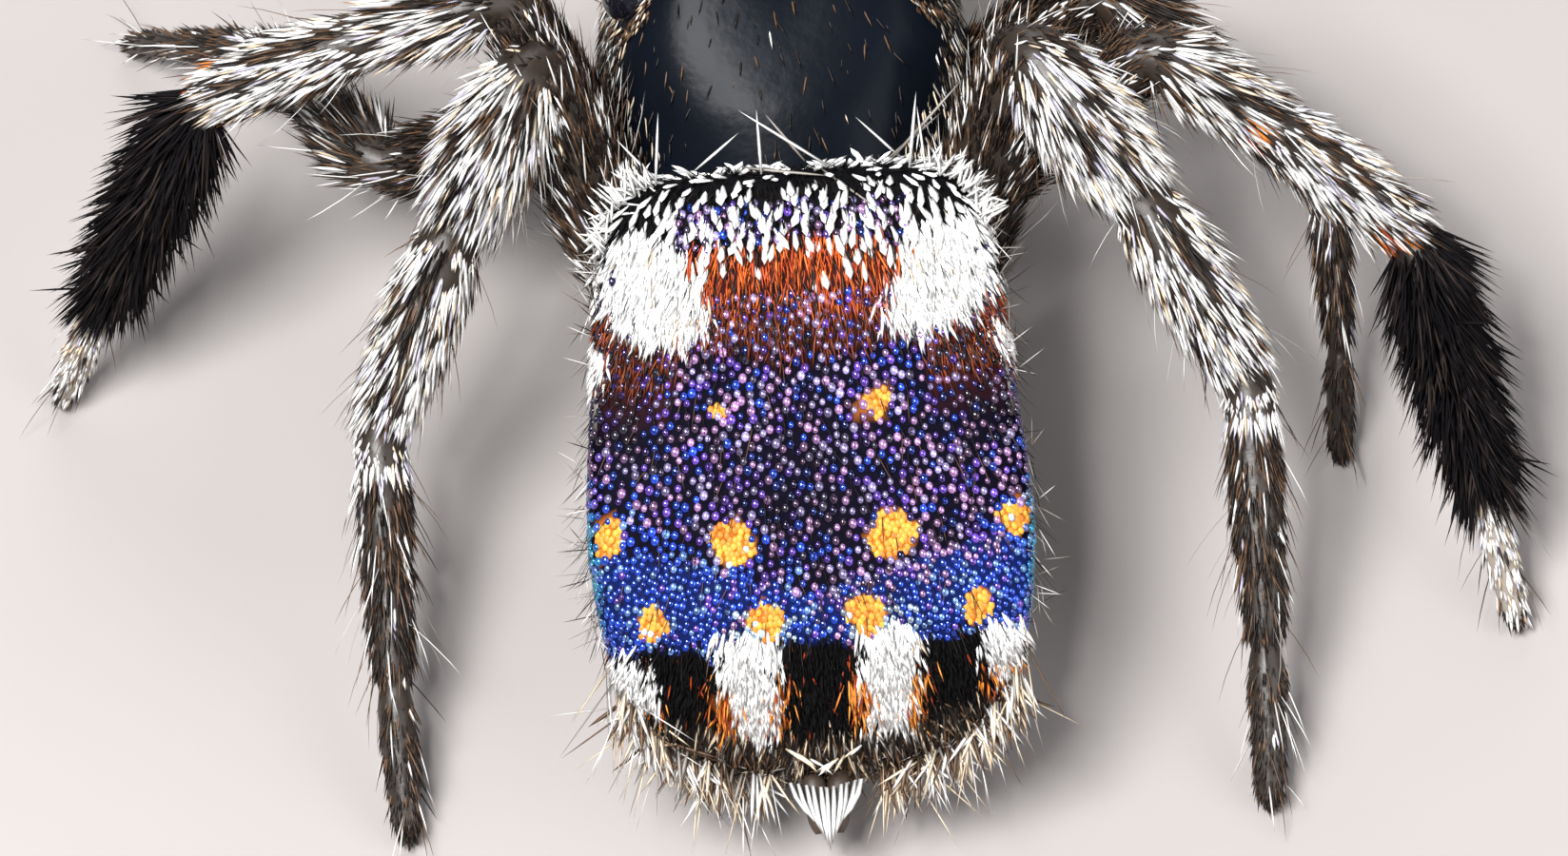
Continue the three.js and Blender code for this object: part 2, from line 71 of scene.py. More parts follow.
def mix(a, b, s):
    return a + (b - a) * s


def smooth(x, a, b):
    s = np.clip((x - a) / (b - a), 0, 1)
    return s * s * (3 - 2 * s)


def unit(v):
    return v / np.maximum(np.linalg.norm(v, axis=-1, keepdims=True), 1e-12)


def power(v, p):
    return np.sign(v) * np.abs(v) ** p


def world(points):
    """The animal's own millimetres as metres in the frame."""
    return (np.asarray(points) + HOME) * MM


class Roots:
    """Places where a coat grows: points, outward normals, places on the unwrap and the lie."""

    def __init__(self, point, out, spot, ahead):
        self.point = point
        self.out = out
        self.spot = spot
        self.ahead = ahead

    def __len__(self):
        return len(self.point)

    def only(self, mask):
        return Roots(self.point[mask], self.out[mask], self.spot[mask], self.ahead[mask])


def paint(mesh, colours):
    """Give each vertex a colour, in the attribute that Finish.tint reads."""
    opaque = np.ones((len(mesh.vertices), 4))
    opaque[:, :3] = colours.reshape(-1, 3)
    tint = mesh.color_attributes.new("tint", "FLOAT_COLOR", "POINT")
    tint.data.foreach_set("color", opaque.ravel())


class Skin:
    """A bmesh made a mesh, which knows each vertex's place on the unwrap and the lie of its coat."""

    def __init__(self, name, bm, spots, lie, inset=0.0):
        bmesh.ops.recalc_face_normals(bm, faces=bm.faces)
        self.mesh = bpy.data.meshes.new(name)
        bm.to_mesh(self.mesh)
        bm.free()
        self.spots = spots
        co = np.empty(len(self.mesh.vertices) * 3)
        self.mesh.vertices.foreach_get("co", co)
        outer = co.reshape(-1, 3) / MM
        self.corners = self.sorted_triangles()
        a, b, c = (outer[self.corners[:, i]] for i in range(3))
        out = np.zeros_like(outer)
        for i in range(3):
            np.add.at(out, self.corners[:, i], np.cross(b - a, c - a))
        self.out = unit(out)
        inner = outer - self.out * inset
        self.mesh.vertices.foreach_set("co", (inner * MM).ravel())
        self.mesh.polygons.foreach_set("use_smooth", np.ones(len(self.mesh.polygons), bool))
        self.mesh.update()
        self.point = inner - HOME
        self.ahead = lie(self.point, spots)
        a, b, c = (self.point[self.corners[:, i]] for i in range(3))
        self.area = np.linalg.norm(np.cross(b - a, c - a), axis=1) / 2

    def sorted_triangles(self):
        """The triangles in one fixed order, because the mesh's own order can change with each run."""
        self.mesh.calc_loop_triangles()
        corners = np.empty(len(self.mesh.loop_triangles) * 3, np.int32)
        self.mesh.loop_triangles.foreach_get("vertices", corners)
        corners = corners.reshape(-1, 3)
        turn = (np.arange(3) + corners.argmin(1)[:, None]) % 3
        corners = np.take_along_axis(corners, turn, 1)
        return corners[np.lexsort(corners.T[::-1])]

    def roots(self, per_mm2, rng):
        """Random roots, so many to each square millimetre."""
        count = int(self.area.sum() * per_mm2)
        chosen = rng.choice(len(self.corners), count, p=self.area / self.area.sum())
        share = np.sqrt(rng.random(count))
        turn = rng.random(count)
        weight = np.stack([1 - share, share * (1 - turn), share * turn], 1)[:, :, None]
        corners = self.corners[chosen]

        def blended(values):
            return (values[corners] * weight).sum(1)

        out = unit(blended(self.out))
        return Roots(blended(self.point), out, blended(self.spots), unit(blended(self.ahead)))


def ball_skin(name, columns, rows, place, lie, inset=0.0):
    """A ball of quads, with each point moved to its place. Inset leaves room for the coat."""
    bm = bmesh.new()
    bmesh.ops.create_uvsphere(bm, u_segments=columns, v_segments=rows, radius=1)
    spots = np.array([v.co[:] for v in bm.verts])
    for v, point in zip(bm.verts, world(place(spots))):
        v.co = point
    return Skin(name, bm, spots, lie, inset)


def form_of(bm):
    """The points and triangles of a shape that is repeated."""
    bmesh.ops.triangulate(bm, faces=bm.faces)
    points = np.array([v.co[:] for v in bm.verts])
    triangles = np.array([[v.index for v in f.verts] for f in bm.faces])
    bm.free()
    return points, triangles


def bristle_form(sides, rings):
    """A closed bristle one unit long on Z, with its fullness at each ring from the root."""
    bm = bmesh.new()
    bmesh.ops.create_cone(bm, cap_ends=True, segments=sides, radius1=0.5, radius2=0, depth=1)
    bmesh.ops.remove_doubles(bm, verts=bm.verts, dist=1e-5)
    bmesh.ops.translate(bm, verts=bm.verts, vec=(0, 0, 0.5))
    heights = [i / len(rings) for i in range(len(rings))]
    for height in heights[1:]:
        parts = bm.verts[:] + bm.edges[:] + bm.faces[:]
        bmesh.ops.bisect_plane(bm, geom=parts, plane_co=(0, 0, height), plane_no=(0, 0, 1))
    for v in bm.verts:
        if v.co.z < 0.999:
            full = np.interp(v.co.z, heights, rings) / (1 - v.co.z)
            v.co.x *= full
            v.co.y *= full
    return form_of(bm)


BRISTLE = bristle_form(3, (0.7, 1.0, 0.8))
SHORT = bristle_form(3, (0.8, 1.0))
CLUB = bristle_form(4, (0.45, 0.6, 0.95, 1.15))
BAKE_PATCH = 0.003  # the width of one bristle's patch on the unwrap
# Painted shade: bristles and scales are drawn darker towards their roots, as if shaded by the coat around
# them.
ROOT_PAINTED_SHADE = 0.55  # how dark a bristle is at its root, against its tip
FLATNESS = 0.55  # a bristle's thickness, as a share of its width
SINK = 0.012  # how deep a bristle's foot stands in the skin
FLOOR_ROOM = 0.03  # what is left between the floor and a bristle's middle line


def stamp(name, form, roots, across, thick, along, curl, tints, root_painted_shade=ROOT_PAINTED_SHADE):
    """One joined mesh with the form at every root, on a frame of its own."""
    verts, faces = form
    count, size = len(roots), len(verts)
    x, y, z = (verts[None, :, i : i + 1] for i in range(3))
    points = roots.point[:, None] + across[:, None] * x + thick[:, None] * y
    points = points + along[:, None] * z + curl[:, None] * z**2
    mesh = bpy.data.meshes.new(name)
    mesh.vertices.add(count * size)
    mesh.vertices.foreach_set("co", world(points).ravel())
    corners = (faces[None] + np.arange(count)[:, None, None] * size).ravel()
    mesh.loops.add(len(corners))
    mesh.loops.foreach_set("vertex_index", corners)
    mesh.polygons.add(len(corners) // 3)
    mesh.polygons.foreach_set("loop_start", np.arange(0, len(corners), 3))
    mesh.polygons.foreach_set("use_smooth", np.ones(len(corners) // 3, bool))
    mesh.update(calc_edges=True)
    # Painted shade: the tint darkens towards the root of each form.
    paint(mesh, tints[:, None] * mix(root_painted_shade, 1, np.clip(z * 2.5, 0, 1)))
    spot = unit(roots.spot * (1, 1, 0)) + roots.spot * (0, 0, 1)
    u = np.arctan2(spot[:, 1], spot[:, 0]) / (2 * np.pi) + 0.5
    v = spot[:, 2] / 2 + 0.5
    patch = np.stack([u, v], 1)[:, None] + BAKE_PATCH * (verts[None][:, :, (0, 2)] - (0, 0.5))
    mesh.uv_layers.new(name="OFBake").data.foreach_set("uv", patch.reshape(-1, 2)[corners].ravel())
    return mesh


def show(mesh, finish, slot, *nodes):
    """Put the mesh on the body as a piece with the finish, in place of nodes. The slot is not used."""
    piece = bpy.data.objects.new(mesh.name, mesh)
    bpy.context.collection.objects.link(piece)
    mesh.materials.append(finish.material)
    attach(piece, "root")
    if nodes:
        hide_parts(*nodes)


def bristles(
    name, slot, roots, length, width, tints, rng, finish=None, rise=0.3, curl=0.0, stray=0.2, form=BRISTLE
):
    """Bristles along the lie of the coat. Rise slopes them off the skin, and curl bends their tips."""
    count = len(roots)
    length = np.broadcast_to(length, count) * rng.uniform(0.75, 1.25, count)
    width = np.broadcast_to(width, count) * rng.uniform(0.8, 1.2, count)
    rise = np.broadcast_to(rise, count)[:, None] * rng.uniform(0.5, 1.5, (count, 1))
    loose = roots.ahead + rng.normal(0, stray, (count, 3))
    flat = unit(loose - roots.out * (loose * roots.out).sum(1, keepdims=True))
    way = unit(flat + roots.out * rise)
    across = unit(np.cross(way, roots.out))
    thick = np.cross(across, way)
    room = np.maximum(roots.point[:, 2:] - FLOOR_ROOM, 0.0)
    drop = np.maximum(-way[:, 2:], 1e-6)
    length = np.minimum(length[:, None], room / drop)
    bend = roots.out * (np.broadcast_to(curl, count)[:, None] * length)
    feet = Roots(roots.point - roots.out * SINK, roots.out, roots.spot, roots.ahead)
    across, thick = across * width[:, None], thick * width[:, None] * FLATNESS
    mesh = stamp(name, form, feet, across, thick, way * length, bend, tints)
    show(mesh, finish or coat, slot)


def shades(rng, count, *choices):
    """A colour for each of count hairs, from (share, colour) choices, each a little off."""
    parts = np.array([share for share, _ in choices], float)
    picked = rng.choice(len(choices), count, p=parts / parts.sum())
    colours = np.array([colour for _, colour in choices], float)[picked]
    return colours * rng.uniform(0.75, 1.2, (count, 1))


class Finish:
    """A material and its nodes."""

    def __init__(self, name):
        self.material = bpy.data.materials.new(name)
        self.material.use_nodes = True
        self.tree = self.material.node_tree
        self.shader = self.tree.nodes["Principled BSDF"]

    def node(self, kind, settings=None, **inputs):
        made = self.tree.nodes.new(kind)
        for key, value in (settings or {}).items():
            setattr(made, key, value)
        for key, value in inputs.items():
            self.feed(made.inputs[key.replace("_", " ")], value)
        return made

    def feed(self, socket, value):
        if isinstance(value, Wire):
            self.tree.links.new(value.socket, socket)
        else:
            socket.default_value = value

    def set(self, **inputs):
        for key, value in inputs.items():
            self.feed(self.shader.inputs[key.replace("_", " ")], value)
        return self

    def places(self, scale):
        """Object coordinates in units of the given length in metres."""
        coordinates = self.node("ShaderNodeTexCoord").outputs["Object"]
        scaled = self.node("ShaderNodeVectorMath", {"operation": "SCALE"})
        self.tree.links.new(coordinates, scaled.inputs[0])
        scaled.inputs["Scale"].default_value = 1 / scale
        return Wire(self, scaled.outputs[0])

    def noise(self, scale, detail=3.0):
        made = self.node("ShaderNodeTexNoise", Scale=1.0, Detail=detail, Vector=self.places(scale))
        return Wire(self, made.outputs["Fac"])

    def blend(self, amount, first, second):
        made = self.node("ShaderNodeMix", {"data_type": "RGBA"})
        for socket, value in ((0, amount), (6, first), (7, second)):
            if isinstance(value, tuple):
                value = (*value, 1)
            self.feed(made.inputs[socket], value)
        return Wire(self, made.outputs[2])

    def tint(self):
        made = self.node("ShaderNodeAttribute", {"attribute_name": "tint"})
        return Wire(self, made.outputs["Color"])

    def bump(self, height, distance, strength=1.0):
        made = self.node("ShaderNodeBump", Height=height, Distance=distance, Strength=strength)
        return Wire(self, made.outputs["Normal"])


class Wire:
    """A socket's output in shader maths."""

    def __init__(self, finish, socket):
        self.finish = finish
        self.socket = socket

    def math(self, operation, first, second):
        made = self.finish.node("ShaderNodeMath", {"operation": operation})
        self.finish.feed(made.inputs[0], first)
        self.finish.feed(made.inputs[1], second)
        return Wire(self.finish, made.outputs[0])

    def __add__(self, other):
        return self.math("ADD", self, other)

    __radd__ = __add__

    def __mul__(self, other):
        return self.math("MULTIPLY", self, other)

    __rmul__ = __mul__

    def __sub__(self, other):
        return self.math("SUBTRACT", self, other)

    def __rsub__(self, other):
        return self.math("SUBTRACT", other, self)

    def __pow__(self, other):
        return self.math("POWER", self, other)


def crest_at(y):
    """The height of the carapace's middle line."""
    ys, zs = zip(*CREST)
    return np.interp(y, ys, zs)


def round_the_axis(d):
    """The distance of each direction from the pole, and the sine and cosine of its bearing."""
    ring = np.maximum(np.hypot(d[:, 0], d[:, 1]), 1e-6)
    cos = np.where(ring > 1e-6, d[:, 1] / ring, 1)
    return ring, d[:, 0] / ring, cos


def carapace_place(d):
    """The carapace's outside, square at the face and round behind, over a flat rim."""
    ring, sin, cos = round_the_axis(d)
    widths = CARAPACE_HALF_WIDTH
    end = np.where(cos > 0, widths["back"], widths["head"])
    width = mix(widths["middle"], end, cos * cos)
    round_end, square_end = CARAPACE_SQUARENESS["back"], CARAPACE_SQUARENESS["head"]
    square = np.where(cos > 0, round_end, mix(round_end, square_end, np.minimum(1, -2 * cos)))
    length = (CARAPACE_BACK - CARAPACE_FRONT) / 2
    reach = (np.abs(sin / width) ** square + np.abs(cos / length) ** square) ** (-1 / square)
    reached = reach * ring**0.5
    y = (CARAPACE_BACK + CARAPACE_FRONT) / 2 + reached * cos
    up = np.maximum(d[:, 2], 0) ** 0.85
    top = mix(CARAPACE_RIM, crest_at(y), up)
    z = np.where(d[:, 2] > 0, top, CARAPACE_RIM + 0.05 * d[:, 2])
    return np.stack([reached * sin, y, z], 1)


def backward(point, spots):
    return unit(point * (0.5, 0, 0) + (0, 1, -0.5))


rng = np.random.default_rng(11)
shell = Finish("black_cuticle")
cells = shell.noise(0.00006, 2.0)
haze = shell.noise(0.0005, 3.0)
shell.set(
    Base_Color=shell.blend(haze, (0.003, 0.003, 0.0035), (0.004, 0.007, 0.013)),
    Roughness=0.2 + 0.14 * haze,
    Normal=shell.bump(cells, 0.0000015),
    Specular_IOR_Level=0.06,
)
coat = Finish("bristle")
coat.set(Base_Color=coat.tint(), Roughness=0.42, Specular_IOR_Level=0.28)
soft_coat = Finish("velvet_bristle")
soft_coat.set(Base_Color=soft_coat.tint(), Roughness=0.9, Specular_IOR_Level=0.1)

carapace = ball_skin("carapace_skin", 96, 64, carapace_place, backward, inset=0.01)
show(carapace.mesh, shell, "shell", "carapace")

WHITE = (0.8, 0.79, 0.77)
LILAC = (0.52, 0.49, 0.6)
CREAM = (0.72, 0.58, 0.42)
GREY = (0.3, 0.27, 0.24)
BROWN = (0.12, 0.065, 0.035)
DARK = (0.016, 0.011, 0.009)
ORANGE = (0.75, 0.22, 0.03)
RUST = (0.34, 0.05, 0.012)

STEEP = 0.55  # the skin is steep where it faces up less than this
roots = carapace.roots(900, rng)
side = (roots.out[:, 2] < STEEP) | (roots.point[:, 2] < 1.3)
roots = roots.only((roots.out[:, 2] > -0.2) & (side | (rng.random(len(roots)) < 0.1)))
pale_share = np.where(roots.out[:, 2] < STEEP, 0.5, 0.06)[:, None]
pale = shades(rng, len(roots), (0.5, WHITE), (0.3, CREAM), (0.3, GREY))
dark = shades(rng, len(roots), (0.3, BROWN), (1, DARK))
tints = np.where(rng.random((len(roots), 1)) < pale_share, pale, dark)
bristles("carapace_hair", "shell", roots, 0.11, 0.012, tints, rng, rise=0.25)

# Eyes
# Four pairs of clear domed lenses over black pits. The front pair is by far the largest and looks
# straight ahead. A ring of short pale and orange scales edges each one.

EYES = {
    "front_middle": ((0.265, -2.19, 1.46), 0.25),
    "front_side": ((0.64, -2.03, 1.53), 0.14),
    "tiny": ((0.735, -1.72, 1.62), 0.055),
    "rear": ((0.655, -1.36, 1.68), 0.13),
}
lens = Finish("lens")
lens.set(
    Base_Color=(0.004, 0.004, 0.008, 1),
    Roughness=0.03,
    Coat_Weight=1.0,
    Coat_Roughness=0.01,
    Specular_IOR_Level=0.7,
)
SIDES = {"left": 1, "right": -1}
for name, (centre, radius) in EYES.items():
    for side_name, sign in SIDES.items():
        middle = np.array(centre) * (sign, 1, 1)
        bm = bmesh.new()
        bmesh.ops.create_uvsphere(bm, u_segments=48, v_segments=32, radius=radius * MM)
        bmesh.ops.translate(bm, verts=bm.verts, vec=world(middle))
        mesh = bpy.data.meshes.new(f"lens_{name}_{side_name}")
        bm.to_mesh(mesh)
        bm.free()
        mesh.polygons.foreach_set("use_smooth", np.ones(len(mesh.polygons), bool))
        show(mesh, lens, "eye", f"eye_{name}_{side_name}")


def near_eye(points, margin):
    """True where a point is within margin of a lens."""
    near = np.zeros(len(points), bool)
    for centre, radius in EYES.values():
        for sign in SIDES.values():
            away = np.linalg.norm(points - np.array(centre) * (sign, 1, 1), axis=1)
            near |= away < radius + margin
    return near


roots = carapace.roots(5200, rng)
edge = near_eye(roots.point, 0.05) & ~near_eye(roots.point, 0.0)
roots = roots.only(edge & (roots.out[:, 2] > -0.6))
tints = shades(rng, len(roots), (0.15, WHITE), (0.25, CREAM), (0.8, BROWN), (0.7, DARK))
bristles("eye_ring_scales", "eye", roots, 0.07, 0.018, tints, rng, rise=0.5, form=SHORT)

roots = carapace.roots(2400, rng)
x, y, z = roots.point.T
brow = (y < -1.95) & (z > 1.5) & (np.abs(x) < 0.66)
face = (y < -2.1) & (z < 1.36)
ahead = np.where(brow[:, None], (0, -0.9, 0.6), (0, -0.5, -1.0))
roots = Roots(roots.point, roots.out, roots.spot, unit(ahead.astype(float)))
lone = roots.only(brow & (rng.random(len(roots)) < 0.25))
tints = shades(rng, len(lone), (0.4, WHITE), (0.6, DARK), (0.3, BROWN))
bristles("brow_bristles", "shell", lone, 0.24, 0.013, tints, rng, rise=0.7, curl=0.1)
beard = roots.only(face & ~near_eye(roots.point, 0.0))
tints = shades(rng, len(beard), (0.8, WHITE), (0.4, CREAM))
bristles("face_hair", "shell", beard, 0.13, 0.016, tints, rng, rise=0.5, curl=-0.1)

# Jaws
# Two stout black-brown segments hang under the front eyes, side by side, each ending in a folded
# fang. They are hard and glossy with a few pale hairs on their faces.

JAW = {"middle": (0.2, -2.2, 0.9), "radii": (0.165, 0.18, 0.36), "taper": 0.12}


def grained(name, scale, detail, dark, light, smoothest, roughened, relief):
    """Cuticle whose colour, gloss and relief all follow one grain of the given scale."""
    finish = Finish(name)
    grain = finish.noise(scale, detail)
    colour = finish.blend(grain, dark, light)
    rough = smoothest + roughened * grain
    return finish.set(Base_Color=colour, Roughness=rough, Normal=finish.bump(grain, relief))


jaw_brown = ((0.012, 0.008, 0.006), (0.06, 0.03, 0.018))
jaw_finish = grained("jaw_cuticle", 0.00008, 3.0, *jaw_brown, 0.22, 0.2, 0.000006)


def downward(point, spots):
    return np.tile((0.0, -0.2, -1.0), (len(point), 1))


def jaw_place(d):
    """An egg round the origin, narrower at its lower end."""
    return d * JAW["radii"] * (1 - JAW["taper"] * (1 - d[:, 2:]))


for side_name, sign in SIDES.items():
    centre = JAW["middle"] * np.array((sign, 1, 1))
    jaw = ball_skin(
        f"jaw_skin_{side_name}", 32, 24, lambda d: centre + jaw_place(d), downward, inset=0.012
    )
    show(jaw.mesh, jaw_finish, "shell", f"jaw_{side_name}")
    roots = jaw.roots(1100, rng)
    roots = roots.only((roots.out[:, 1] < 0.2) & (roots.point[:, 2] < 1.2))
    tints = shades(rng, len(roots), (0.6, WHITE), (0.4, CREAM), (0.3, BROWN))
    bristles(f"jaw_hair_{side_name}", "shell", roots, 0.12, 0.011, tints, rng, rise=0.35)

# Sternum
# The breast plate closes the body between the hips of the legs. It is dull black-brown cuticle,
# thinner than the carapace, with fine hair.

belly_brown = ((0.015, 0.01, 0.008), (0.07, 0.045, 0.03))
belly_finish = grained("dull_cuticle", 0.0001, 4.0, *belly_brown, 0.45, 0.2, 0.000008)


def sternum_place(d):
    return np.array((0, -1.12, 0.77)) + d * (0.4, 0.86, 0.15)


sternum = ball_skin("sternum_skin", 48, 32, sternum_place, downward, inset=0.01)
show(sternum.mesh, belly_finish, "shell", "sternum")
roots = sternum.roots(700, rng)
roots = roots.only(roots.out[:, 2] < 0.3)
tints = shades(rng, len(roots), (0.3, CREAM), (0.5, GREY), (0.4, BROWN))
bristles("sternum_hair", "shell", roots, 0.12, 0.01, tints, rng, rise=0.3, stray=0.5)

# Legs
# Each leg is a chain of hollow cuticle tubes, pinched at its joints and covered in bristles that
# lie towards the foot. The third pair has a black brush and a white end, which the male shows off.

HIP = {"x": 0.3, "z": 0.78, "length": 0.44, "radius": 0.165}
FLOOR_FLAT = 0.055  # the height of a foot's middle over the floor
BOW = 0.05  # how far the patella's end stands out from the straight line
SLENDER = {
    "radius": (0.15, 0.13, 0.11, 0.085, 0.075),
    "belly": (0.06, 0.03, 0.03, 0.01, 0.01),
    "shares": (0.42, 0.6),
}
# The hip's place and its turn in degrees, each side's knee, ankle and foot, the radii from the knee
# on, how far each part swells, and where the patella and the metatarsus end on their stretches.
LEGS = {
    "leg1": {
        "hip_y": -1.62,
        "turn": 48,
        "left": ((1.1, -2.39, 1.68), (1.74, -3.45, 1.0), (2.0, -4.05, FLOOR_FLAT)),
        "right": ((1.2, -2.3, 1.7), (2.05, -3.15, 1.0), (2.45, -3.65, FLOOR_FLAT)),
        **SLENDER,
    },
    "leg2": {
        "hip_y": -1.24,
        "turn": 14,
        "left": ((1.8, -0.85, 1.2), (2.3, -1.75, 0.9), (3.0, -2.45, FLOOR_FLAT)),
        "right": ((1.42, -1.2, 1.72), (2.38, -0.61, 1.0), (2.38, 0.25, FLOOR_FLAT)),
        **SLENDER,
    },
    "leg3": {
        "hip_y": -0.85,
        "turn": -12,
        "left": ((1.2, -1.06, 2.12), (2.56, -0.99, 1.6), (3.34, -0.48, FLOOR_FLAT)),
        "right": ((1.6, -0.66, 2.0), (2.72, -0.16, 1.2), (3.09, 1.19, FLOOR_FLAT)),
        "radius": (0.155, 0.15, 0.135, 0.095, 0.08),
        "belly": (0.06, 0.02, 0.03, 0.02, 0.015),
        "shares": (0.4, 0.63),
    },
    "leg4": {
        "hip_y": -0.45,
        "turn": -34,
        "left": ((1.08, -0.8, 2.0), (1.86, 0.41, 1.0), (1.84, 1.95, FLOOR_FLAT)),
        "right": ((1.06, -0.74, 2.0), (1.95, 0.48, 1.1), (1.93, 2.05, FLOOR_FLAT)),
        "radius": (0.17, 0.165, 0.145, 0.11, 0.085),
        "belly": (0.05, 0.065, 0.035, 0.01, 0.01),
        "shares": (0.46, 0.64),
    },
}
COXA, FEMUR, PATELLA, TIBIA, METATARSUS, TARSUS = range(6)
LEG_STEP = 0.035
LEG_SIDES = 18
LEG_INSET = 0.03
PINCH = {"depth": 0.16, "half_width": 0.045}  # the narrowing at a joint


def leg_joints(leg, side_name):
    """Hip, trochanter, knee, patella end, ankle, heel and foot in the animal's millimetres."""
    sign = SIDES[side_name]
    turn = math.radians(leg["turn"])
    x = HIP["x"] + HIP["length"] * math.cos(turn)
    y = leg["hip_y"] - HIP["length"] * math.sin(turn)
    mirror = np.array((sign, 1, 1))
    hip = np.array((HIP["x"], leg["hip_y"], HIP["z"])) * mirror
    trochanter = np.array((x, y, HIP["z"])) * mirror
    knee, ankle, foot = (np.array(p) * mirror for p in leg[side_name])
    out = unit(np.array((sign, 0.0, 1.0)))
    patella_end = mix(knee, ankle, leg["shares"][0]) + out * BOW
    heel = mix(ankle, foot, leg["shares"][1]) + out * BOW / 2
    return [hip, trochanter, knee, patella_end, ankle, heel, foot]


def leg_course(leg, side_name):
    """Points down the leg's middle, the leg's radius at each, its part and the place along it."""
    joints = leg_joints(leg, side_name)
    knee_r, patella_r, ankle_r, heel_r, foot_r = leg["radius"]
    ends = ((HIP["radius"], knee_r), (knee_r, knee_r), (knee_r, patella_r))
    ends += ((patella_r, ankle_r), (ankle_r, heel_r), (heel_r, foot_r))
    bellies = (0, *leg["belly"])
    rows = []
    for part, (start, end) in enumerate(zip(joints, joints[1:])):
        steps = max(4, round(np.linalg.norm(end - start) / LEG_STEP))
        for i in range(steps):
            s = i / steps
            near = min(s, 1 - s) * steps * LEG_STEP
            pinch = 1
            if part != COXA:
                pinch -= PINCH["depth"] * math.exp(-((near / PINCH["half_width"]) ** 2))
            radius = mix(*ends[part], s) + bellies[part] * math.sin(math.pi * s)
            rows.append((*mix(start, end, s), (radius - LEG_INSET) * pinch, part, s))
    rows.append((*joints[-1], (foot_r - LEG_INSET) * 0.8, TARSUS, 1.0))
    rows = np.array(rows)
    centre = rows[:, :3].copy()
    for _ in range(3):
        centre[1:-1] = (centre[:-2] + 2 * centre[1:-1] + centre[2:]) / 4
    return centre, rows[:, 3], rows[:, 4].astype(int), rows[:, 5]


ROUND_END = (0.55, 0.85)  # the size of a tube's last two rings


def tube_skin(name, centre, radius, side, sides):
    """A closed tube drawn out ring by ring, with rounded ends. Its coat lies along it."""
    way = unit(np.gradient(centre, axis=0))
    across = unit(side - way * (way @ side)[:, None])
    up = np.cross(across, way)
    angles = np.arange(sides) / sides * 2 * np.pi
    bm = bmesh.new()
    ring = list(bmesh.ops.create_circle(bm, cap_ends=False, segments=sides, radius=1)["verts"])
    edges = bm.edges[:]
    spots, ways = [], []
    for i in range(len(centre)):
        if i:
            grown = bmesh.ops.extrude_edge_only(bm, edges=edges)["geom"]
            fresh = [g for g in grown if isinstance(g, bmesh.types.BMVert)]
            edges = [g for g in grown if isinstance(g, bmesh.types.BMEdge)]
            edges = [e for e in edges if all(v in fresh for v in e.verts)]
            follow = {}
            for v in fresh:
                for e in v.link_edges:
                    other = e.other_vert(v)
                    if other in ring:
                        follow[ring.index(other)] = v
            ring = [follow[k] for k in range(sides)]
        end = min(i, len(centre) - 1 - i)
        shrink = ROUND_END[end] if end < len(ROUND_END) else 1.0
        for v, angle in zip(ring, angles):
            turned = across[i] * math.cos(angle) + up[i] * math.sin(angle)
            v.co = world(centre[i] + turned * radius[i] * shrink)
            spots.append((math.cos(angle), math.sin(angle), 2 * i / (len(centre) - 1) - 1))
            ways.append(way[i])
    bmesh.ops.holes_fill(bm, edges=[e for e in bm.edges if e.is_boundary], sides=0)
    return Skin(name, bm, np.array(spots), lambda point, spots: np.array(ways))


def step_at(spots, steps):
    """Which step of the leg's course each place on the unwrap is at."""
    nearest = ((spots[:, 2] + 1) / 2 * (steps - 1)).round().astype(int)
    return np.clip(nearest, 0, steps - 1)


leg_finish = Finish("leg_cuticle")
leg_grain = leg_finish.noise(0.00007, 3.0)
leg_finish.set(
    Base_Color=leg_finish.blend(leg_grain * 0.3, leg_finish.tint(), (0.07, 0.045, 0.03)),
    Roughness=0.3 + 0.25 * leg_grain,
    Normal=leg_finish.bump(leg_grain, 0.000005),
)

# The share of pale bristles on each part, from the hip to the foot.
PALE = {
    "leg1": (0.05, 0.15, 0.3, 0.3, 0.15, 0.08),
    "leg2": (0.05, 0.12, 0.2, 0.25, 0.15, 0.08),
    "leg3": (0.05, 0.22, 0.58, 0.6, 0.02, 0.7),
    "leg4": (0.05, 0.2, 0.64, 0.6, 0.14, 0.06),
}
LEG_NODES = ("femur", "patella", "tibia", "foot")
SHOW_LEG_NODES = ("femur", "patella", "tibia", "metatarsus", "tarsus")
COAT_LENGTHS = np.array((0.12, 0.15, 0.18, 0.17, 0.13, 0.1))
COAT_FROM = 0.04  # the coat begins this high over the floor
DARK_JOINT, WHITE_ANKLE = 0.06, 0.16  # shares of a part's length
CUTICLE = (0.016, 0.011, 0.008)
BRUSH_BLACK = (0.006, 0.005, 0.006)
WHITE_END = (0.3, 0.26, 0.22)


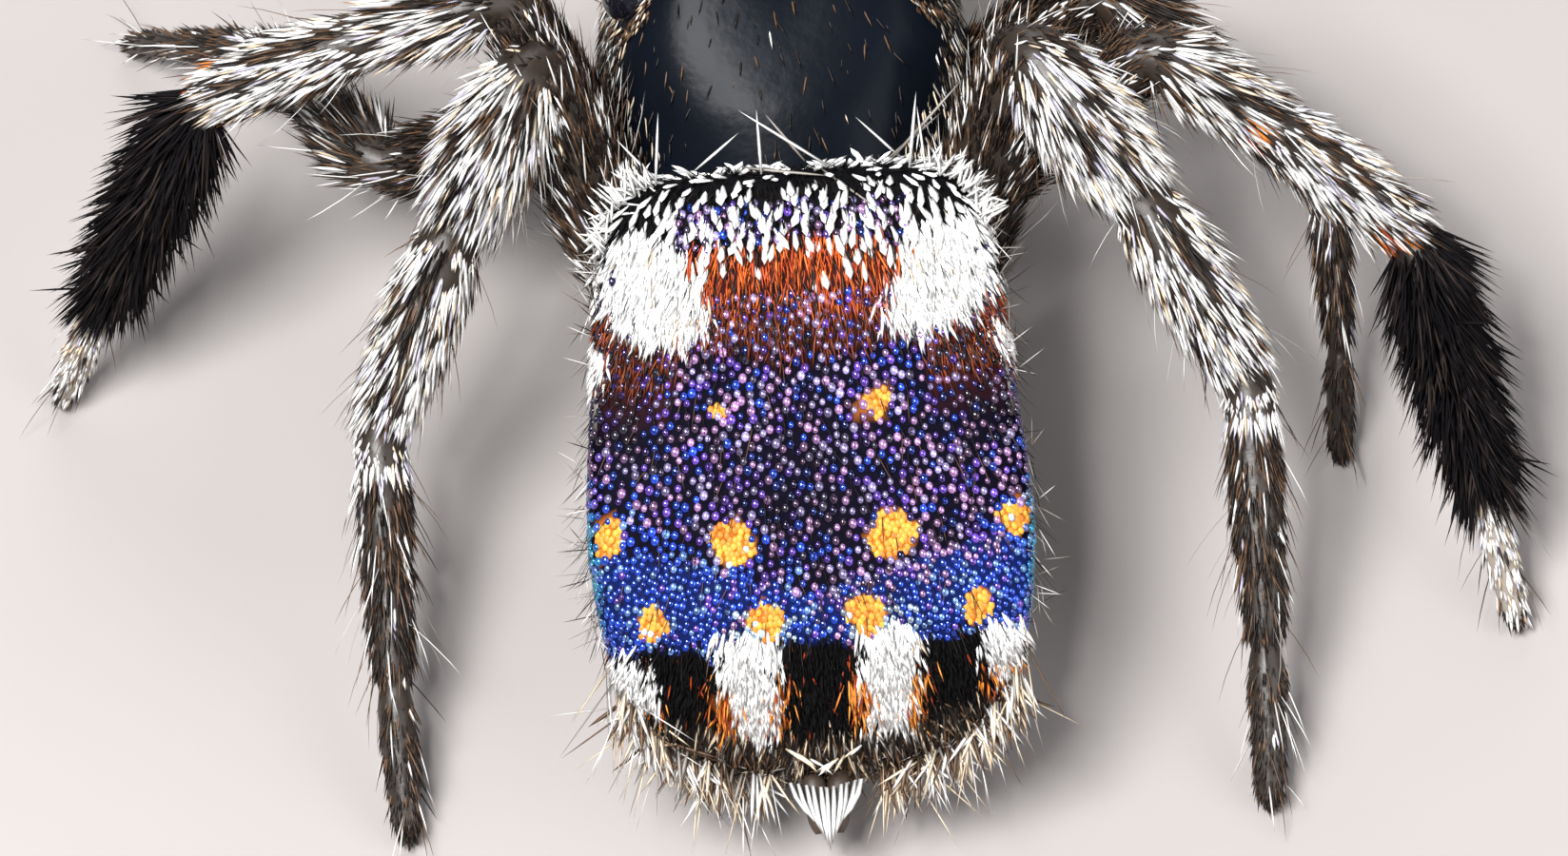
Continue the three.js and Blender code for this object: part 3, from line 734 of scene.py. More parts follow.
def leg_colours(rng, roots, leg_name, part, s):
    """White and dark streaks along the leg, with orange at the joints of the third pair."""
    angle = np.arctan2(roots.spot[:, 1], roots.spot[:, 0])
    # Waves round and along the leg add up to the streaks, and a paler part has wider ones.
    wander = np.sin(s * 7 + part * 2.1) + 0.6 * np.sin(s * 13 + 1.7)
    streak = np.sin(angle * 3 + wander) + np.sin(angle * 7 - 2 * wander)
    streak = streak + np.sin(angle * 5 + s * 23 + part) * np.sin(s * 17 + angle * 2)
    share = np.array(PALE[leg_name])[part]
    pale = share * smooth(streak, 0.9 - 3.4 * share, 1.5 - 3.4 * share) * 1.35
    pale = np.where(np.minimum(s, 1 - s) < DARK_JOINT, pale * 0.25, pale)
    pale = np.where((part == METATARSUS) & (s < WHITE_ANKLE), 0.95, pale)
    count = len(roots)
    light = shades(rng, count, (0.9, WHITE), (0.12, CREAM), (0.1, LILAC))
    dark = shades(rng, count, (0.9, DARK), (0.35, BROWN))
    tints = np.where((rng.random(count) < pale)[:, None], light, dark)
    if leg_name == "leg3":
        warm = ((part == TIBIA) & (s > 0.72)) | ((part == PATELLA) & (s > 0.82))
        warm &= (rng.random(count) < 0.5) & (np.cos(angle + 0.8) > -0.2)
        tints = np.where(warm[:, None], shades(rng, count, (1, ORANGE), (0.5, RUST)), tints)
    return tints


for leg_number, (leg_name, leg) in enumerate(LEGS.items()):
    for side_name in SIDES:
        rng = np.random.default_rng(100 + 10 * leg_number + (side_name == "left"))
        centre, radius, part_of, place_of = leg_course(leg, side_name)
        joints = leg_joints(leg, side_name)
        reach = (joints[-1] - joints[1]) * (1, 1, 0)
        plane = unit(np.cross(reach, (0, 0, 1.0)))
        tag = f"{leg_name}_{side_name}"
        skin = tube_skin(f"{tag}_skin", centre, radius, plane, LEG_SIDES)
        colours = np.tile(CUTICLE, (len(skin.spots), 1))
        if leg_name == "leg3":
            part = part_of[step_at(skin.spots, len(centre))]
            colours[part == METATARSUS] = BRUSH_BLACK
            colours[part == TARSUS] = WHITE_END
        paint(skin.mesh, colours)
        nodes = SHOW_LEG_NODES if leg_name == "leg3" else LEG_NODES
        show(skin.mesh, leg_finish, "leg", *[f"{tag}_{node}" for node in nodes])

        roots = skin.roots(1500, rng)
        step = step_at(roots.spot, len(centre))
        part, s = part_of[step], place_of[step]
        near = np.minimum(s, 1 - s)
        bare = (part > COXA) & (near < 0.045) & (rng.random(len(roots)) < 0.7)
        brush = (leg_name == "leg3") & (part == METATARSUS)
        keep = ~bare & (part > COXA) & ~brush & (roots.point[:, 2] > COAT_FROM)
        plain, part, s = roots.only(keep), part[keep], s[keep]
        lengths = COAT_LENGTHS[part] * np.where(np.minimum(s, 1 - s) < 0.1, 0.6, 1)
        tints = leg_colours(rng, plain, leg_name, part, s)
        widths = np.where(tints[:, 0] > 0.3, 0.02, 0.014)
        rise = np.where(part == PATELLA, 0.36, 0.26)
        bristles(f"{tag}_coat", "leg", plain, lengths, widths, tints, rng, rise=rise, stray=0.1)

        lone = plain.only(rng.random(len(plain)) < 0.05)
        tints = shades(rng, len(lone), (0.4, DARK), (0.3, BROWN), (0.5, WHITE))
        bristles(f"{tag}_spines", "leg", lone, 0.27, 0.01, tints, rng, rise=0.42, curl=-0.08)

        sparse = plain.only(rng.random(len(plain)) < 0.018)
        tints = shades(rng, len(sparse), (0.6, GREY), (0.5, BROWN), (0.4, WHITE))
        bristles(f"{tag}_fine_hair", "leg", sparse, 0.36, 0.006, tints, rng, rise=0.8, curl=-0.16)

        if leg_name == "leg3":
            roots = skin.roots(2600, rng)
            roots = roots.only(part_of[step_at(roots.spot, len(centre))] == METATARSUS)
            tints = shades(rng, len(roots), (1, BRUSH_BLACK), (0.35, (0.03, 0.022, 0.02)))
            lay = {"rise": 0.42, "curl": 0.05, "stray": 0.28}
            bristles(f"{tag}_brush", "brush", roots, 0.3, 0.017, tints, rng, soft_coat, **lay)

        tip = skin.roots(5000, rng)
        tip = tip.only((tip.spot[:, 2] > 0.955) & (tip.point[:, 2] < 0.16))
        toe = Roots(tip.point, tip.out, tip.spot, unit(tip.ahead + (0, 0, -0.2)))
        tints = shades(rng, len(toe), (1, DARK), (0.3, BROWN))
        bristles(f"{tag}_claw_tuft", "leg", toe, 0.06, 0.011, tints, rng, rise=0.3, form=SHORT)

# Palps
# A pair of short feelers stands beside the jaws. They are jointed tubes of brown cuticle, the
# male's with swollen ends, and pale bristles cover them.

PALP = ((0.52, -2.05, 0.68), (0.62, -2.62, 0.98), (0.5, -2.86, 0.86), (0.42, -2.95, 0.4))
PALP_RADIUS = (0.1, 0.12, 0.12, 0.1)
PALP_BULGE = 0.05
PALP_BROWN = (0.08, 0.055, 0.04)
for side_name, sign in SIDES.items():
    rng = np.random.default_rng(300 + sign)
    points = [np.array(p) * (sign, 1, 1) for p in PALP]
    rows = []
    for i, (start, end) in enumerate(zip(points, points[1:])):
        steps = max(4, round(np.linalg.norm(end - start) / LEG_STEP))
        for k in range(steps):
            s = k / steps
            bulge = PALP_BULGE * math.sin(math.pi * s) if i == 2 else 0
            rows.append((*mix(start, end, s), mix(*PALP_RADIUS[i : i + 2], s) + bulge - 0.02))
    rows.append((*points[-1], PALP_RADIUS[-1] - 0.03))
    rows = np.array(rows)
    skin = tube_skin(f"palp_skin_{side_name}", rows[:, :3], rows[:, 3], np.array((1.0, 0, 0)), 16)
    paint(skin.mesh, np.tile(PALP_BROWN, (len(skin.spots), 1)))
    show(skin.mesh, leg_finish, "palp", f"palp_arm_{side_name}", f"palp_tip_{side_name}")
    roots = skin.roots(1500, rng)
    lengths = np.where(roots.spot[:, 2] > 0.2, 0.2, 0.13)
    tints = shades(rng, len(roots), (0.8, WHITE), (0.5, CREAM), (0.15, BROWN))
    bristles(f"palp_coat_{side_name}", "palp", roots, lengths, 0.014, tints, rng, rise=0.35)

# Waist
# A short thin tube of flexible cuticle joins the two halves of the body, from the back of the
# carapace to the front of the abdomen.

waist_line = np.linspace((0, -0.2, 0.95), (0, 0.14, 1.34), 12)
waist = tube_skin("waist_skin", waist_line, np.full(12, 0.115), np.array((1.0, 0, 0)), 24)
show(waist.mesh, belly_finish, "shell", "waist")

# Abdomen
# A soft sac under a stiff flat plate, square-shouldered, which the male lifts in display. The
# plate is paved with domed scales, and its white, rust, orange and black marks are hair and scales.

ABDOMEN = {
    "middle": np.array((0, 1.05, 1.75)),
    "slope": math.radians(34),
    "dome": 0.09,
    "shoulder": 0.2,
    "depth": 1.12,
    "roll_from": 0.75,
    "roll_bend": 0.62,
    "spread": (0.42, 0.7),  # how the rings of points crowd to the edge, above and below it
}
PLATE = {"widths": (0.84, 1.09), "front": 1.15, "rear": 1.55, "squares": (6, 2.6)}
BELLY = {"widths": (0.6, 0.8), "front": 0.84, "rear": 1.35, "squares": (2.3, 2.2)}
ACROSS = np.array((1.0, 0, 0))
ALONG = np.array((0, math.cos(ABDOMEN["slope"]), -math.sin(ABDOMEN["slope"])))
OUT = np.array((0, math.sin(ABDOMEN["slope"]), math.cos(ABDOMEN["slope"])))


def from_plate(a, t, n):
    """A place on the plate, across, along and out from its middle, in the animal's millimetres."""
    a, t, n = (np.asarray(value, float)[..., None] for value in (a, t, n))
    return ABDOMEN["middle"] + a * ACROSS + t * ALONG + n * OUT


def to_plate(points):
    away = points - ABDOMEN["middle"]
    return away @ ACROSS, away @ ALONG, away @ OUT


def outline(shape, sin, cos):
    """Across and along on the shape's outline, by the bearing from its middle."""
    length = np.where(cos > 0, shape["rear"], shape["front"])
    p = 2 / np.where(cos > 0, shape["squares"][1], shape["squares"][0])
    along = length * power(cos, p)
    width = mix(*shape["widths"], np.minimum(1, (along + shape["front"]) / 2.4))
    return width * power(sin, p), along


def abdomen_place(d):
    """The abdomen's outside: a low domed plate that rolls down behind, over a deep sac."""
    ring, sin, cos = round_the_axis(d)
    up = d[:, 2]
    low = smooth(-up, -0.05, 0.9)
    top, base = outline(PLATE, sin, cos), outline(BELLY, sin, cos)
    shrink = ring ** np.where(up > 0, *ABDOMEN["spread"])
    edge = ABDOMEN["dome"] + ABDOMEN["shoulder"]
    domed = -ABDOMEN["dome"] * (1 - up) - ABDOMEN["shoulder"] * (1 - np.abs(up) ** 0.5) ** 2
    sagged = -edge - (ABDOMEN["depth"] - edge) * np.abs(up) ** 1.1
    out = np.where(up > 0, domed, sagged)
    along = mix(top[1], base[1], low) * shrink
    behind = np.maximum(0, along - ABDOMEN["roll_from"])
    rolled = ABDOMEN["roll_bend"] * behind**2 * (1 - low)
    return from_plate(mix(top[0], base[0], low) * shrink, along, out - rolled)


def rearward(point, spots):
    """Down the plate, spreading to its sides."""
    a = to_plate(point)[0]
    return unit(ALONG + ACROSS * (0.35 * a)[:, None])


# The marks, measured on the plate from its middle: across, along, and half their sizes.
ORANGE_SPOTS = (
    (-0.31, -0.09, 0.057),
    (0.366, -0.096, 0.036),
    (0.345, 0.478, 0.098),
    (-0.345, 0.478, 0.098),
    (0.875, 0.434, 0.07),
    (-0.875, 0.434, 0.065),
    (0.704, 0.8, 0.065),
    (-0.704, 0.8, 0.065),
    (0.212, 0.816, 0.075),
    (-0.212, 0.816, 0.085),
)
WHITE_SHOULDER = (
    (0.76, -0.86),
    (0.5, -0.8),
    (0.38, -0.46),
    (0.48, -0.38),
    (0.72, -0.43),
    (0.83, -0.56),
)
WHITE_SIDE = (0.906, -0.335, 0.045, 0.1)
WEDGE = {"a": 0.31, "half_width": 0.13, "from": 0.9, "to": 1.33, "glow": 0.0715}
REAR_SIDES = ((0.83, 1.08, 0.12, 0.12), (-0.8, 1.0, 0.1, 0.1))
BAND_END = -0.82
RUST_END, RUST_HALF_WIDTH = -0.42, 0.62
RUST_SIDE = (-0.55, -0.22, 0.55)  # from and to along the plate, and from here out to its edge
BLUE_FROM, BLUE_END = 0.5, 1.0
VELVET_FROM, VELVET_END = 0.95, 1.34
WANDER = 0.012  # how far the marks' edges wander
PURPLE, BLUE, SPOT, SNOW, FOX, VELVET, BAND, HEM, GLOW = range(9)


def inside(a, t, corners):
    """True where (a, t) lies inside the outline."""
    hit = np.zeros(len(a), bool)
    for (a0, t0), (a1, t1) in zip(corners, corners[1:] + corners[:1]):
        crosses = (t0 > t) != (t1 > t)
        at = a0 + (t - t0) * (a1 - a0) / (t1 - t0)
        hit ^= crosses & (a < at)
    return hit


def in_oval(a, t, middle_a, middle_t, half_a, half_t):
    return ((a - middle_a) / half_a) ** 2 + ((t - middle_t) / half_t) ** 2 < 1


def marking(a, t):
    """Which mark of the plate a place belongs to. The later marks lie over the earlier ones."""
    wander = WANDER * (np.sin(41 * a + 29 * t + 1) + np.sin(37 * t - 31 * a + 2))
    a, t = a + wander, t + 0.8 * wander
    b = np.abs(a)
    zone = np.where((t > BLUE_FROM + 0.3 * np.abs(0.75 - b)) & (t < BLUE_END), BLUE, PURPLE)
    zone = np.where((t > VELVET_FROM - 0.03 * np.cos(a * 9)) & (t <= VELVET_END), VELVET, zone)
    zone = np.where(t > VELVET_END - 0.25 * b**2, HEM, zone)
    fox = (t < RUST_END + 0.1 * (1 - b)) & (b < RUST_HALF_WIDTH + 0.3 * (t + 0.9))
    fox |= (t > RUST_SIDE[0]) & (t < RUST_SIDE[1]) & (b > RUST_SIDE[2])
    zone = np.where(fox, FOX, zone)
    zone = np.where(t < BAND_END + 0.1 * b, BAND, zone)
    fall = (t - WEDGE["from"]) / (WEDGE["to"] - WEDGE["from"])
    from_wedge = np.abs(b - WEDGE["a"] + 0.02 * fall)
    half_width = WEDGE["half_width"] * (1 - 0.5 * fall)
    snow = (from_wedge < half_width) & (fall > 0) & (fall < 1)
    glow = (from_wedge < half_width + WEDGE["glow"]) & (fall > 0.4) & (fall < 0.95)
    snow |= inside(b, t, WHITE_SHOULDER) | in_oval(b, t, *WHITE_SIDE)
    for middle_a, middle_t, half_a, half_t in REAR_SIDES:
        snow |= in_oval(a, t, middle_a, middle_t, half_a, half_t)
        glow |= in_oval(a, t, middle_a, middle_t + half_t, half_a, half_t * 0.6)
    zone = np.where(glow & (zone == VELVET), GLOW, zone)
    zone = np.where(snow, SNOW, zone)
    for middle_a, middle_t, size in ORANGE_SPOTS:
        zone = np.where(in_oval(a, t, middle_a, middle_t, size, size), SPOT, zone)
    return zone


# The skin's colour under each mark, in the order of their names.
GROUND = np.array(
    (
        (0.0016, 0.001, 0.006),
        (0.003, 0.008, 0.06),
        (0.5, 0.14, 0.02),
        (0.55, 0.52, 0.48),
        (0.035, 0.006, 0.004),
        (0.002, 0.0018, 0.002),
        (0.003, 0.003, 0.004),
        (0.03, 0.022, 0.017),
        (0.12, 0.03, 0.006),
    )
)
UNDERSIDE = np.array((0.07, 0.05, 0.04))
rng = np.random.default_rng(500)
plate_finish = Finish("plate_skin")
pits = plate_finish.noise(0.00003, 2.0)
plate_finish.set(
    Base_Color=plate_finish.tint(),
    Roughness=0.5 + 0.25 * pits,
    Normal=plate_finish.bump(pits, 0.000004),
    Specular_IOR_Level=0.04,
)
abdomen = ball_skin("abdomen_skin", 176, 128, abdomen_place, rearward, inset=0.035)
a, t, n = to_plate(abdomen.point)
below = smooth(-n, 0.42, 0.6) * (t < 1.2)
paint(abdomen.mesh, mix(GROUND[marking(a, t)], UNDERSIDE, below[:, None]))
show(abdomen.mesh, plate_finish, "plate", "abdomen")

# Scales
# Each domed scale is a drop of clear cuticle over a colour that shifts from violet to blue, set on
# the black skin of the plate in loose rows, flatter and closer towards the rear corners.


def spaced(points, gap):
    """The first points that keep a gap from each other."""
    cells = {}
    chosen = []
    for i, point in enumerate(points):
        x, y, z = np.floor(point / gap).astype(int).tolist()
        around = product((x - 1, x, x + 1), (y - 1, y, y + 1), (z - 1, z, z + 1))
        near = [k for cell in around for k in cells.get(cell, ())]
        if not near or ((points[near] - point) ** 2).sum(1).min() >= gap**2:
            cells.setdefault((x, y, z), []).append(i)
            chosen.append(i)
    return np.array(chosen)


def dome_form(columns, rows, height):
    """A closed drop one unit wide, cut flat below."""
    bm = bmesh.new()
    bmesh.ops.create_uvsphere(bm, u_segments=columns, v_segments=rows, radius=0.5)
    parts = bm.verts[:] + bm.edges[:] + bm.faces[:]
    cut = {"plane_co": (0, 0, -0.1), "plane_no": (0, 0, 1), "clear_inner": True}
    bmesh.ops.bisect_plane(bm, geom=parts, **cut)
    bmesh.ops.holes_fill(bm, edges=[e for e in bm.edges if e.is_boundary], sides=0)
    bmesh.ops.scale(bm, verts=bm.verts, vec=(1, 1, height))
    return form_of(bm)


PEARL = dome_form(8, 6, 0.75)
FLAKE = dome_form(7, 4, 0.4)
VIOLET = (0.22, 0.1, 0.72)
PINK = (0.66, 0.34, 0.72)
LAVENDER = (0.55, 0.45, 0.85)
BLUE_DEEP = (0.03, 0.1, 0.78)
BLUE_PALE = (0.22, 0.42, 0.95)
TEAL = (0.04, 0.6, 0.66)
ICE = (0.6, 0.78, 1.0)
pearl = Finish("pearl_scale")
pearl.set(
    Base_Color=pearl.tint(),
    Metallic=0.6,
    Roughness=0.2,
    Coat_Weight=0.8,
    Coat_Roughness=0.06,
)


def scales(name, form, roots, size, stretch, tints, finish):
    """Domed scales set flat on the skin, a little longer than wide."""
    ahead = unit(roots.ahead - roots.out * (roots.ahead * roots.out).sum(1, keepdims=True))
    across = np.cross(ahead, roots.out)
    size = np.broadcast_to(size, len(roots))[:, None]
    lay = (across * size, ahead * size * stretch, roots.out * size, np.zeros_like(ahead))
    # Painted shade: the foot of each dome is drawn darker than its top.
    show(stamp(name, form, roots, *lay, tints, root_painted_shade=0.6), finish, "plate")


def pearl_tints(roots):
    """Lilac and violet up the plate, blue down its corners, teal rims, and pale over the wedges."""
    a, t, _ = to_plate(roots.point)
    count = len(roots)
    violet = shades(rng, count, (0.35, VIOLET), (0.4, PINK), (0.35, LAVENDER), (0.3, BLUE_DEEP))
    blue = shades(rng, count, (0.9, BLUE_DEEP), (0.25, BLUE_PALE), (0.12, VIOLET))
    teal = shades(rng, count, (1, TEAL), (0.3, BLUE_PALE))
    ice = shades(rng, count, (1, ICE), (0.4, PINK))
    blueness = smooth(t + 0.5 * np.abs(a) + 0.1 * np.sign(a), 0.66, 0.95)
    tints = np.where((rng.random(count) < blueness)[:, None], blue, violet)
    rim = smooth(np.abs(a), 0.88, 0.99) * smooth(t, 0.1, 0.5)
    tints = mix(tints, teal, rim[:, None])
    from_wedge = np.hypot((np.abs(a) - WEDGE["a"] + 0.05) / 0.17, (t - 0.86) / 0.11)
    tints = np.where((rng.random(count) < 1.3 - from_wedge)[:, None], ice, tints)
    dim = 1.2 * rng.uniform(0.22, 1.0, (count, 1)) ** 1.7
    dim = mix(dim, 1.0, 0.5 * blueness[:, None])
    from_middle = np.hypot(a / 0.4, (t - 0.28) / 0.35)
    margin = smooth(np.abs(a), 0.5, 0.75) * (1 - smooth(t, -0.05, 0.3))
    shaded = mix(0.5, 1, smooth(from_middle, 0.3, 1.1)) * (1 - 0.8 * margin)
    return tints * dim * shaded[:, None]


PAVED_TO = -0.52  # the scales end this far below the plate's middle
roots = abdomen.roots(16000, rng)
a, t, n = to_plate(roots.point)
zone = marking(a, t)
upper = (zone == PURPLE) | ((zone == FOX) & (t > -0.58))
upper |= (zone == BAND) & (t > -0.98) & (np.abs(a) < 0.5)
for name, mask, gap, size, form in (
    ("pearl_scales", upper, 0.033, 0.039, PEARL),
    ("blue_scales", zone == BLUE, 0.025, 0.034, FLAKE),
):
    paved = roots.only(mask & (n > PAVED_TO))
    paved = paved.only(spaced(paved.point, gap))
    sizes = size * rng.uniform(0.7, 1.1, len(paved))
    scales(name, form, paved, sizes, 1.2, pearl_tints(paved), pearl)

spots = roots.only((zone == SPOT) & (n > PAVED_TO))
spots = spots.only(spaced(spots.point, 0.019))
tints = shades(rng, len(spots), (1, (0.9, 0.42, 0.05)), (0.6, (0.85, 0.27, 0.03)), (0.05, ICE))
scales("orange_spots", FLAKE, spots, 0.032, 1.3, tints, coat)

# Coat of the abdomen
# White, rust, orange and black bristles lie down the plate in patches, club-headed ones stand along
# its front edge, and cream hair hangs from its rear.

FRAY = 0.024  # how far hairs of a mark stray over its edge
PATCHES_TO, UPPER_TO, FLANK_FROM = -0.62, -0.5, -0.45  # how far out from the plate's middle


def patch(name, mark, per_mm2, length, width, choices, finish=coat, **lay):
    """The hair of one kind of mark, sown so that the middles of the hairs cover the mark."""
    roots = abdomen.roots(per_mm2, rng)
    a, t, n = to_plate(roots.point + roots.ahead * length * 0.5)
    frayed = rng.normal(0, FRAY, (2, len(roots)))
    of_mark = (marking(a + frayed[0], t + frayed[1]) == mark) & (n > PATCHES_TO)
    roots = roots.only(of_mark)
    tints = shades(rng, len(roots), *choices)
    if mark == FOX:
        tints = tints * mix(1.6, 0.38, smooth(t[of_mark], -0.78, -0.35)[:, None])
    bristles(name, "plate", roots, length, width, tints, rng, finish, **lay)


BLACK = (0.004, 0.0035, 0.004)
AMBER = (0.8, 0.3, 0.05)
EMBER = (0.6, 0.12, 0.015)
patch("white_marks", SNOW, 5200, 0.13, 0.023, ((1, (0.95, 0.95, 0.94)), (0.02, CREAM)), rise=0.25)
patch("rust_hair", FOX, 3200, 0.14, 0.011, ((0.6, RUST), (0.4, EMBER), (0.35, DARK)), rise=0.2)
patch("velvet_hair", VELVET, 4200, 0.08, 0.014, ((1, BLACK), (0.02, RUST)), soft_coat, rise=0.5)
patch("wedge_edges", GLOW, 3000, 0.13, 0.012, ((0.7, ORANGE), (1, AMBER), (0.7, RUST)), rise=0.3)
patch("band_hair", BAND, 1800, 0.09, 0.01, ((1, BLACK), (0.2, DARK)), soft_coat, rise=0.4)
hem = ((0.3, CREAM), (0.3, GREY), (0.6, BROWN), (1, DARK))
patch("hem_hair", HEM, 1700, 0.16, 0.014, hem, rise=0.2)

roots = abdomen.roots(1300, rng)
a, t, n = to_plate(roots.point)
stragglers = (t < -0.64) & (t > -0.9) & (np.abs(a) < 0.6) & (rng.random(len(roots)) < 0.06)
roots = roots.only(((marking(a, t) == BAND) | stragglers) & (n > UPPER_TO))
roots = roots.only(spaced(roots.point, 0.032))
tints = shades(rng, len(roots), (1, (0.9, 0.9, 0.89)))
lay = {"rise": 0.35, "stray": 0.22, "form": CLUB}
bristles("club_bristles", "plate", roots, 0.13, 0.028, tints, rng, **lay)

roots = abdomen.roots(600, rng)
_, t, n = to_plate(roots.point)
dark_hair = roots.only((n > UPPER_TO) & (t < 0.9) & (t > -0.8) & (rng.random(len(roots)) < 0.2))
tints = shades(rng, len(dark_hair), (1, DARK), (0.3, BROWN))
bristles("fine_dark_hair", "plate", dark_hair, 0.17, 0.005, tints, rng, rise=0.5, curl=0.1)

roots = abdomen.roots(700, rng)
roots = roots.only(to_plate(roots.point)[2] <= FLANK_FROM)
tints = shades(rng, len(roots), (0.5, GREY), (0.35, CREAM), (0.4, BROWN))
bristles("flank_hair", "plate", roots, 0.16, 0.01, tints, rng, rise=0.35, stray=0.35)


def edge_bristles(name, angle, length, width, choices, lift, fall=0.0, stray=0.2):
    """Bristles that stand out round the edge, by their angle from the middle of the rear."""
    count = len(angle)
    angle = angle * rng.choice((-1, 1), count)
    spot = unit(np.stack([np.sin(angle), np.cos(angle), rng.uniform(0.02, 0.3, count)], 1))
    edge = abdomen_place(spot)
    inner = abdomen_place(unit(spot * (0.7, 0.7, 1)))
    outward = unit(edge - inner)
    ahead = unit(outward + (ALONG - OUT * 0.3) * fall)
    root = Roots(edge - outward * 0.05, OUT + 0 * edge, spot, ahead)
    tints = shades(rng, count, *choices)
    lay = {"rise": lift, "curl": 0.08, "stray": stray}
    bristles(name, "plate", root, length, width, tints, rng, **lay)


def between(start, end, count):
    """Bearings spread evenly between two, in degrees."""
    return np.radians(rng.uniform(start, end, count))


FRONT_BRISTLES = 16
along_front = np.pi - np.arcsin(rng.uniform(0.05, 0.84, FRONT_BRISTLES) ** 3)
lengths = rng.uniform(0.2, 0.42, FRONT_BRISTLES)
whites = ((1, WHITE), (0.3, GREY))
edge_bristles("front_bristles", along_front, lengths, 0.016, whites, 0.15, stray=0.3)
whites = ((1, WHITE), (0.12, DARK))
edge_bristles("corner_bristles", between(112, 158, 200), 0.11, 0.017, whites, 0.2)
greys = ((1, GREY), (0.3, WHITE), (0.5, DARK))
edge_bristles("side_bristles", between(60, 112, 150), 0.12, 0.005, greys, 0.1)
creams = ((0.8, CREAM), (1, WHITE), (0.5, BROWN), (0.3, GREY))
edge_bristles("rear_fringe", between(8, 50, 300), 0.19, 0.02, creams, 0.0, 0.9, 0.28)
edge_bristles("rear_strands", between(8, 56, 90), 0.33, 0.008, creams, 0.0, 0.9, 0.3)

CHEVRON_HAIRS = 18
across = rng.uniform(0.02, 0.17, CHEVRON_HAIRS) * rng.choice((-1, 1), CHEVRON_HAIRS)
start = from_plate(across, 1.46 - 0.5 * np.abs(across), -0.24)
lie = unit(ALONG * 0.6 - OUT * 0.45 - ACROSS * np.sign(across)[:, None] * 0.7)
spot = unit(np.stack([across, 1 + 0 * across, 0.3 + 0 * across], 1))
chevron = Roots(start, OUT + 0 * start, spot, lie)
tints = shades(rng, CHEVRON_HAIRS, (1, CREAM), (0.6, WHITE))
bristles("rear_chevron", "plate", chevron, 0.09, 0.017, tints, rng, rise=0.05, stray=0.12)

# Spinnerets
# Four silk nozzles of soft cuticle stand at the tail end, under a fan of flat white hairs that
# grow from the last edge of the plate.

TAIL = {"along": 1.5, "out": -0.52, "length": 0.26, "radius": 0.07, "spread": 0.085}
for number, (across, out) in enumerate(((-1, 0.6), (1, 0.6), (-1, -0.8), (1, -0.8))):
    at = from_plate(across * TAIL["spread"] * 0.7, TAIL["along"], TAIL["out"] + out * TAIL["spread"])
    to = at + ALONG * TAIL["length"] - ACROSS * across * 0.02
    line = np.linspace(at, to, 10)
    radius = np.linspace(TAIL["radius"] - 0.01, TAIL["radius"] * 0.6, 10)
    nozzle = tube_skin(f"spinneret_{number}", line, radius, ACROSS, 16)
    show(nozzle.mesh, belly_finish, "spinneret_tuft", *(("spinnerets",) if number == 0 else ()))

FAN_LAYERS, FAN_HAIRS = 2, 11
count = FAN_LAYERS * FAN_HAIRS
lateral = np.tile(np.linspace(-1, 1, FAN_HAIRS), FAN_LAYERS) + rng.normal(0, 0.03, count)
depth = np.repeat((0.05, 0.0), FAN_HAIRS) + rng.uniform(-0.01, 0.01, count)
near_middle = 1 - np.abs(lateral)
start = from_plate(lateral * 0.155, 1.53 + 0.03 * near_middle, TAIL["out"] + 0.08 + depth)
end = from_plate(lateral * 0.045, 1.72 + 0.12 * near_middle, TAIL["out"] + 0.04 + depth)
bend = -ACROSS * (lateral * 0.075)[:, None]
along = end - start - bend
spot = np.stack([lateral, depth, np.full(count, 0.9)], 1)
fan = Roots(start, OUT + 0 * start, spot, along)
broad = 0.027 * unit(np.cross(along, OUT))
thick = 0.012 * OUT + 0 * along
tints = shades(rng, count, (1, (0.84, 0.84, 0.83)))
mesh = stamp("tail_fan", BRISTLE, fan, broad, thick, along, bend, tints)
show(mesh, coat, "spinneret_tuft")

# Floor, light and camera
# A pale matt floor under soft studio light. The camera looks down the plate's own axis from
# behind and above, as the photograph does.

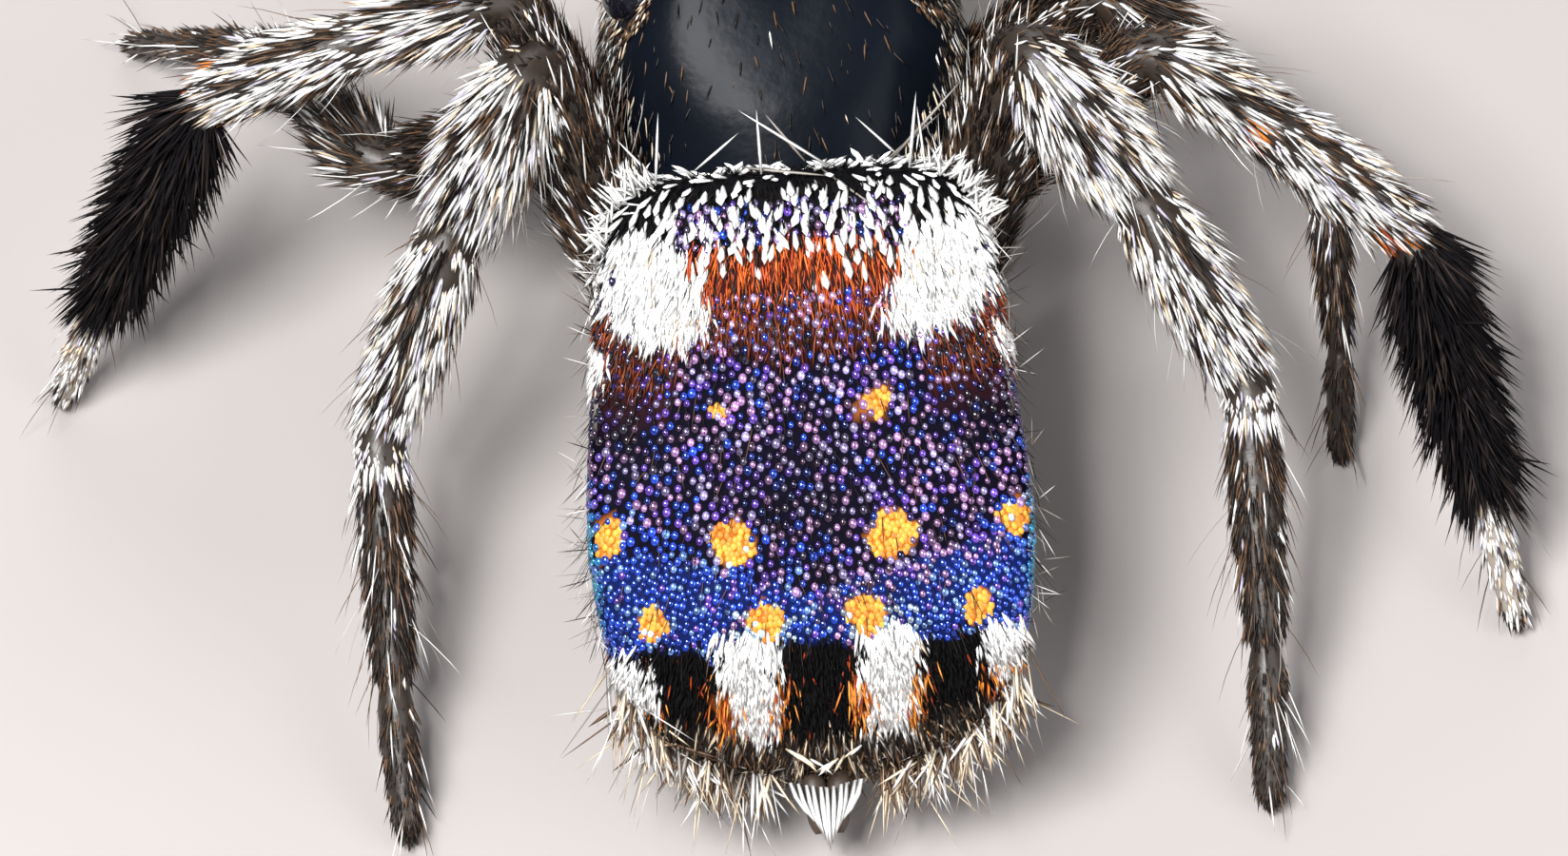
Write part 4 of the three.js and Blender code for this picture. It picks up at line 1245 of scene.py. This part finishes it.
floor_finish = Finish("pale_floor")
speck = floor_finish.noise(0.004, 4.0)
floor_finish.set(
    Base_Color=floor_finish.blend(speck, (0.33, 0.305, 0.295), (0.4, 0.37, 0.36)),
    Roughness=0.85,
)
bm = bmesh.new()
bmesh.ops.create_circle(bm, cap_ends=True, segments=96, radius=0.25)
floor_mesh = bpy.data.meshes.new("floor")
bm.to_mesh(floor_mesh)
bm.free()
floor = bpy.data.objects.new("floor", floor_mesh)
bpy.context.collection.objects.link(floor)
floor_mesh.materials.append(floor_finish.material)

TARGET = Vector(world(ABDOMEN["middle"]))


def area_light(name, place, size, watts):
    """A square lamp at a place in metres from the plate's middle, turned to it."""
    light = bpy.data.lights.new(name, "AREA")
    light.size = size
    light.energy = watts
    lamp = bpy.data.objects.new(name, light)
    bpy.context.collection.objects.link(lamp)
    lamp.location = TARGET + Vector(place)
    lamp.rotation_euler = (TARGET - lamp.location).to_track_quat("-Z", "Y").to_euler()


area_light("key_light", (0.014, 0.012, 0.036), 0.016, 0.029)
area_light("fill_light", (-0.03, 0.02, 0.02), 0.03, 0.009)
area_light("front_light", (0.0, -0.035, 0.025), 0.03, 0.007)
area_light("spark_light", (0.006, 0.018, 0.034), 0.003, 0.006)

surroundings = bpy.data.worlds.new("studio")
bpy.context.scene.world = surroundings
surroundings.use_nodes = True
background = surroundings.node_tree.nodes["Background"]
background.inputs["Color"].default_value = (0.9, 0.92, 1.0, 1)
background.inputs["Strength"].default_value = 0.17

FRAME_PIXELS = 1648
PLATE_PIXEL = 846  # where the plate's middle is across the frame
PIXELS_PER_MM = 245
SENSOR = 36
DISTANCE = 45
ROLL = math.radians(3.5)
ELEVATION = math.radians(56)
camera_data = bpy.data.cameras.new("camera")
camera = bpy.data.objects.new("camera", camera_data)
bpy.context.collection.objects.link(camera)
camera_data.sensor_width = SENSOR
camera_data.lens = SENSOR * DISTANCE / (FRAME_PIXELS / PIXELS_PER_MM)
camera_data.shift_x = (FRAME_PIXELS / 2 - PLATE_PIXEL) / FRAME_PIXELS
camera_data.clip_start = 0.001
camera_data.clip_end = 2.0
back = Vector((0, math.cos(ELEVATION), math.sin(ELEVATION)))
camera.location = TARGET + back * DISTANCE * MM
camera.rotation_euler = (-back).to_track_quat("-Z", "Y").to_euler()
camera.rotation_euler.rotate_axis("Z", -ROLL)
bpy.context.scene.camera = camera
bpy.context.scene.view_settings.view_transform = "Standard"
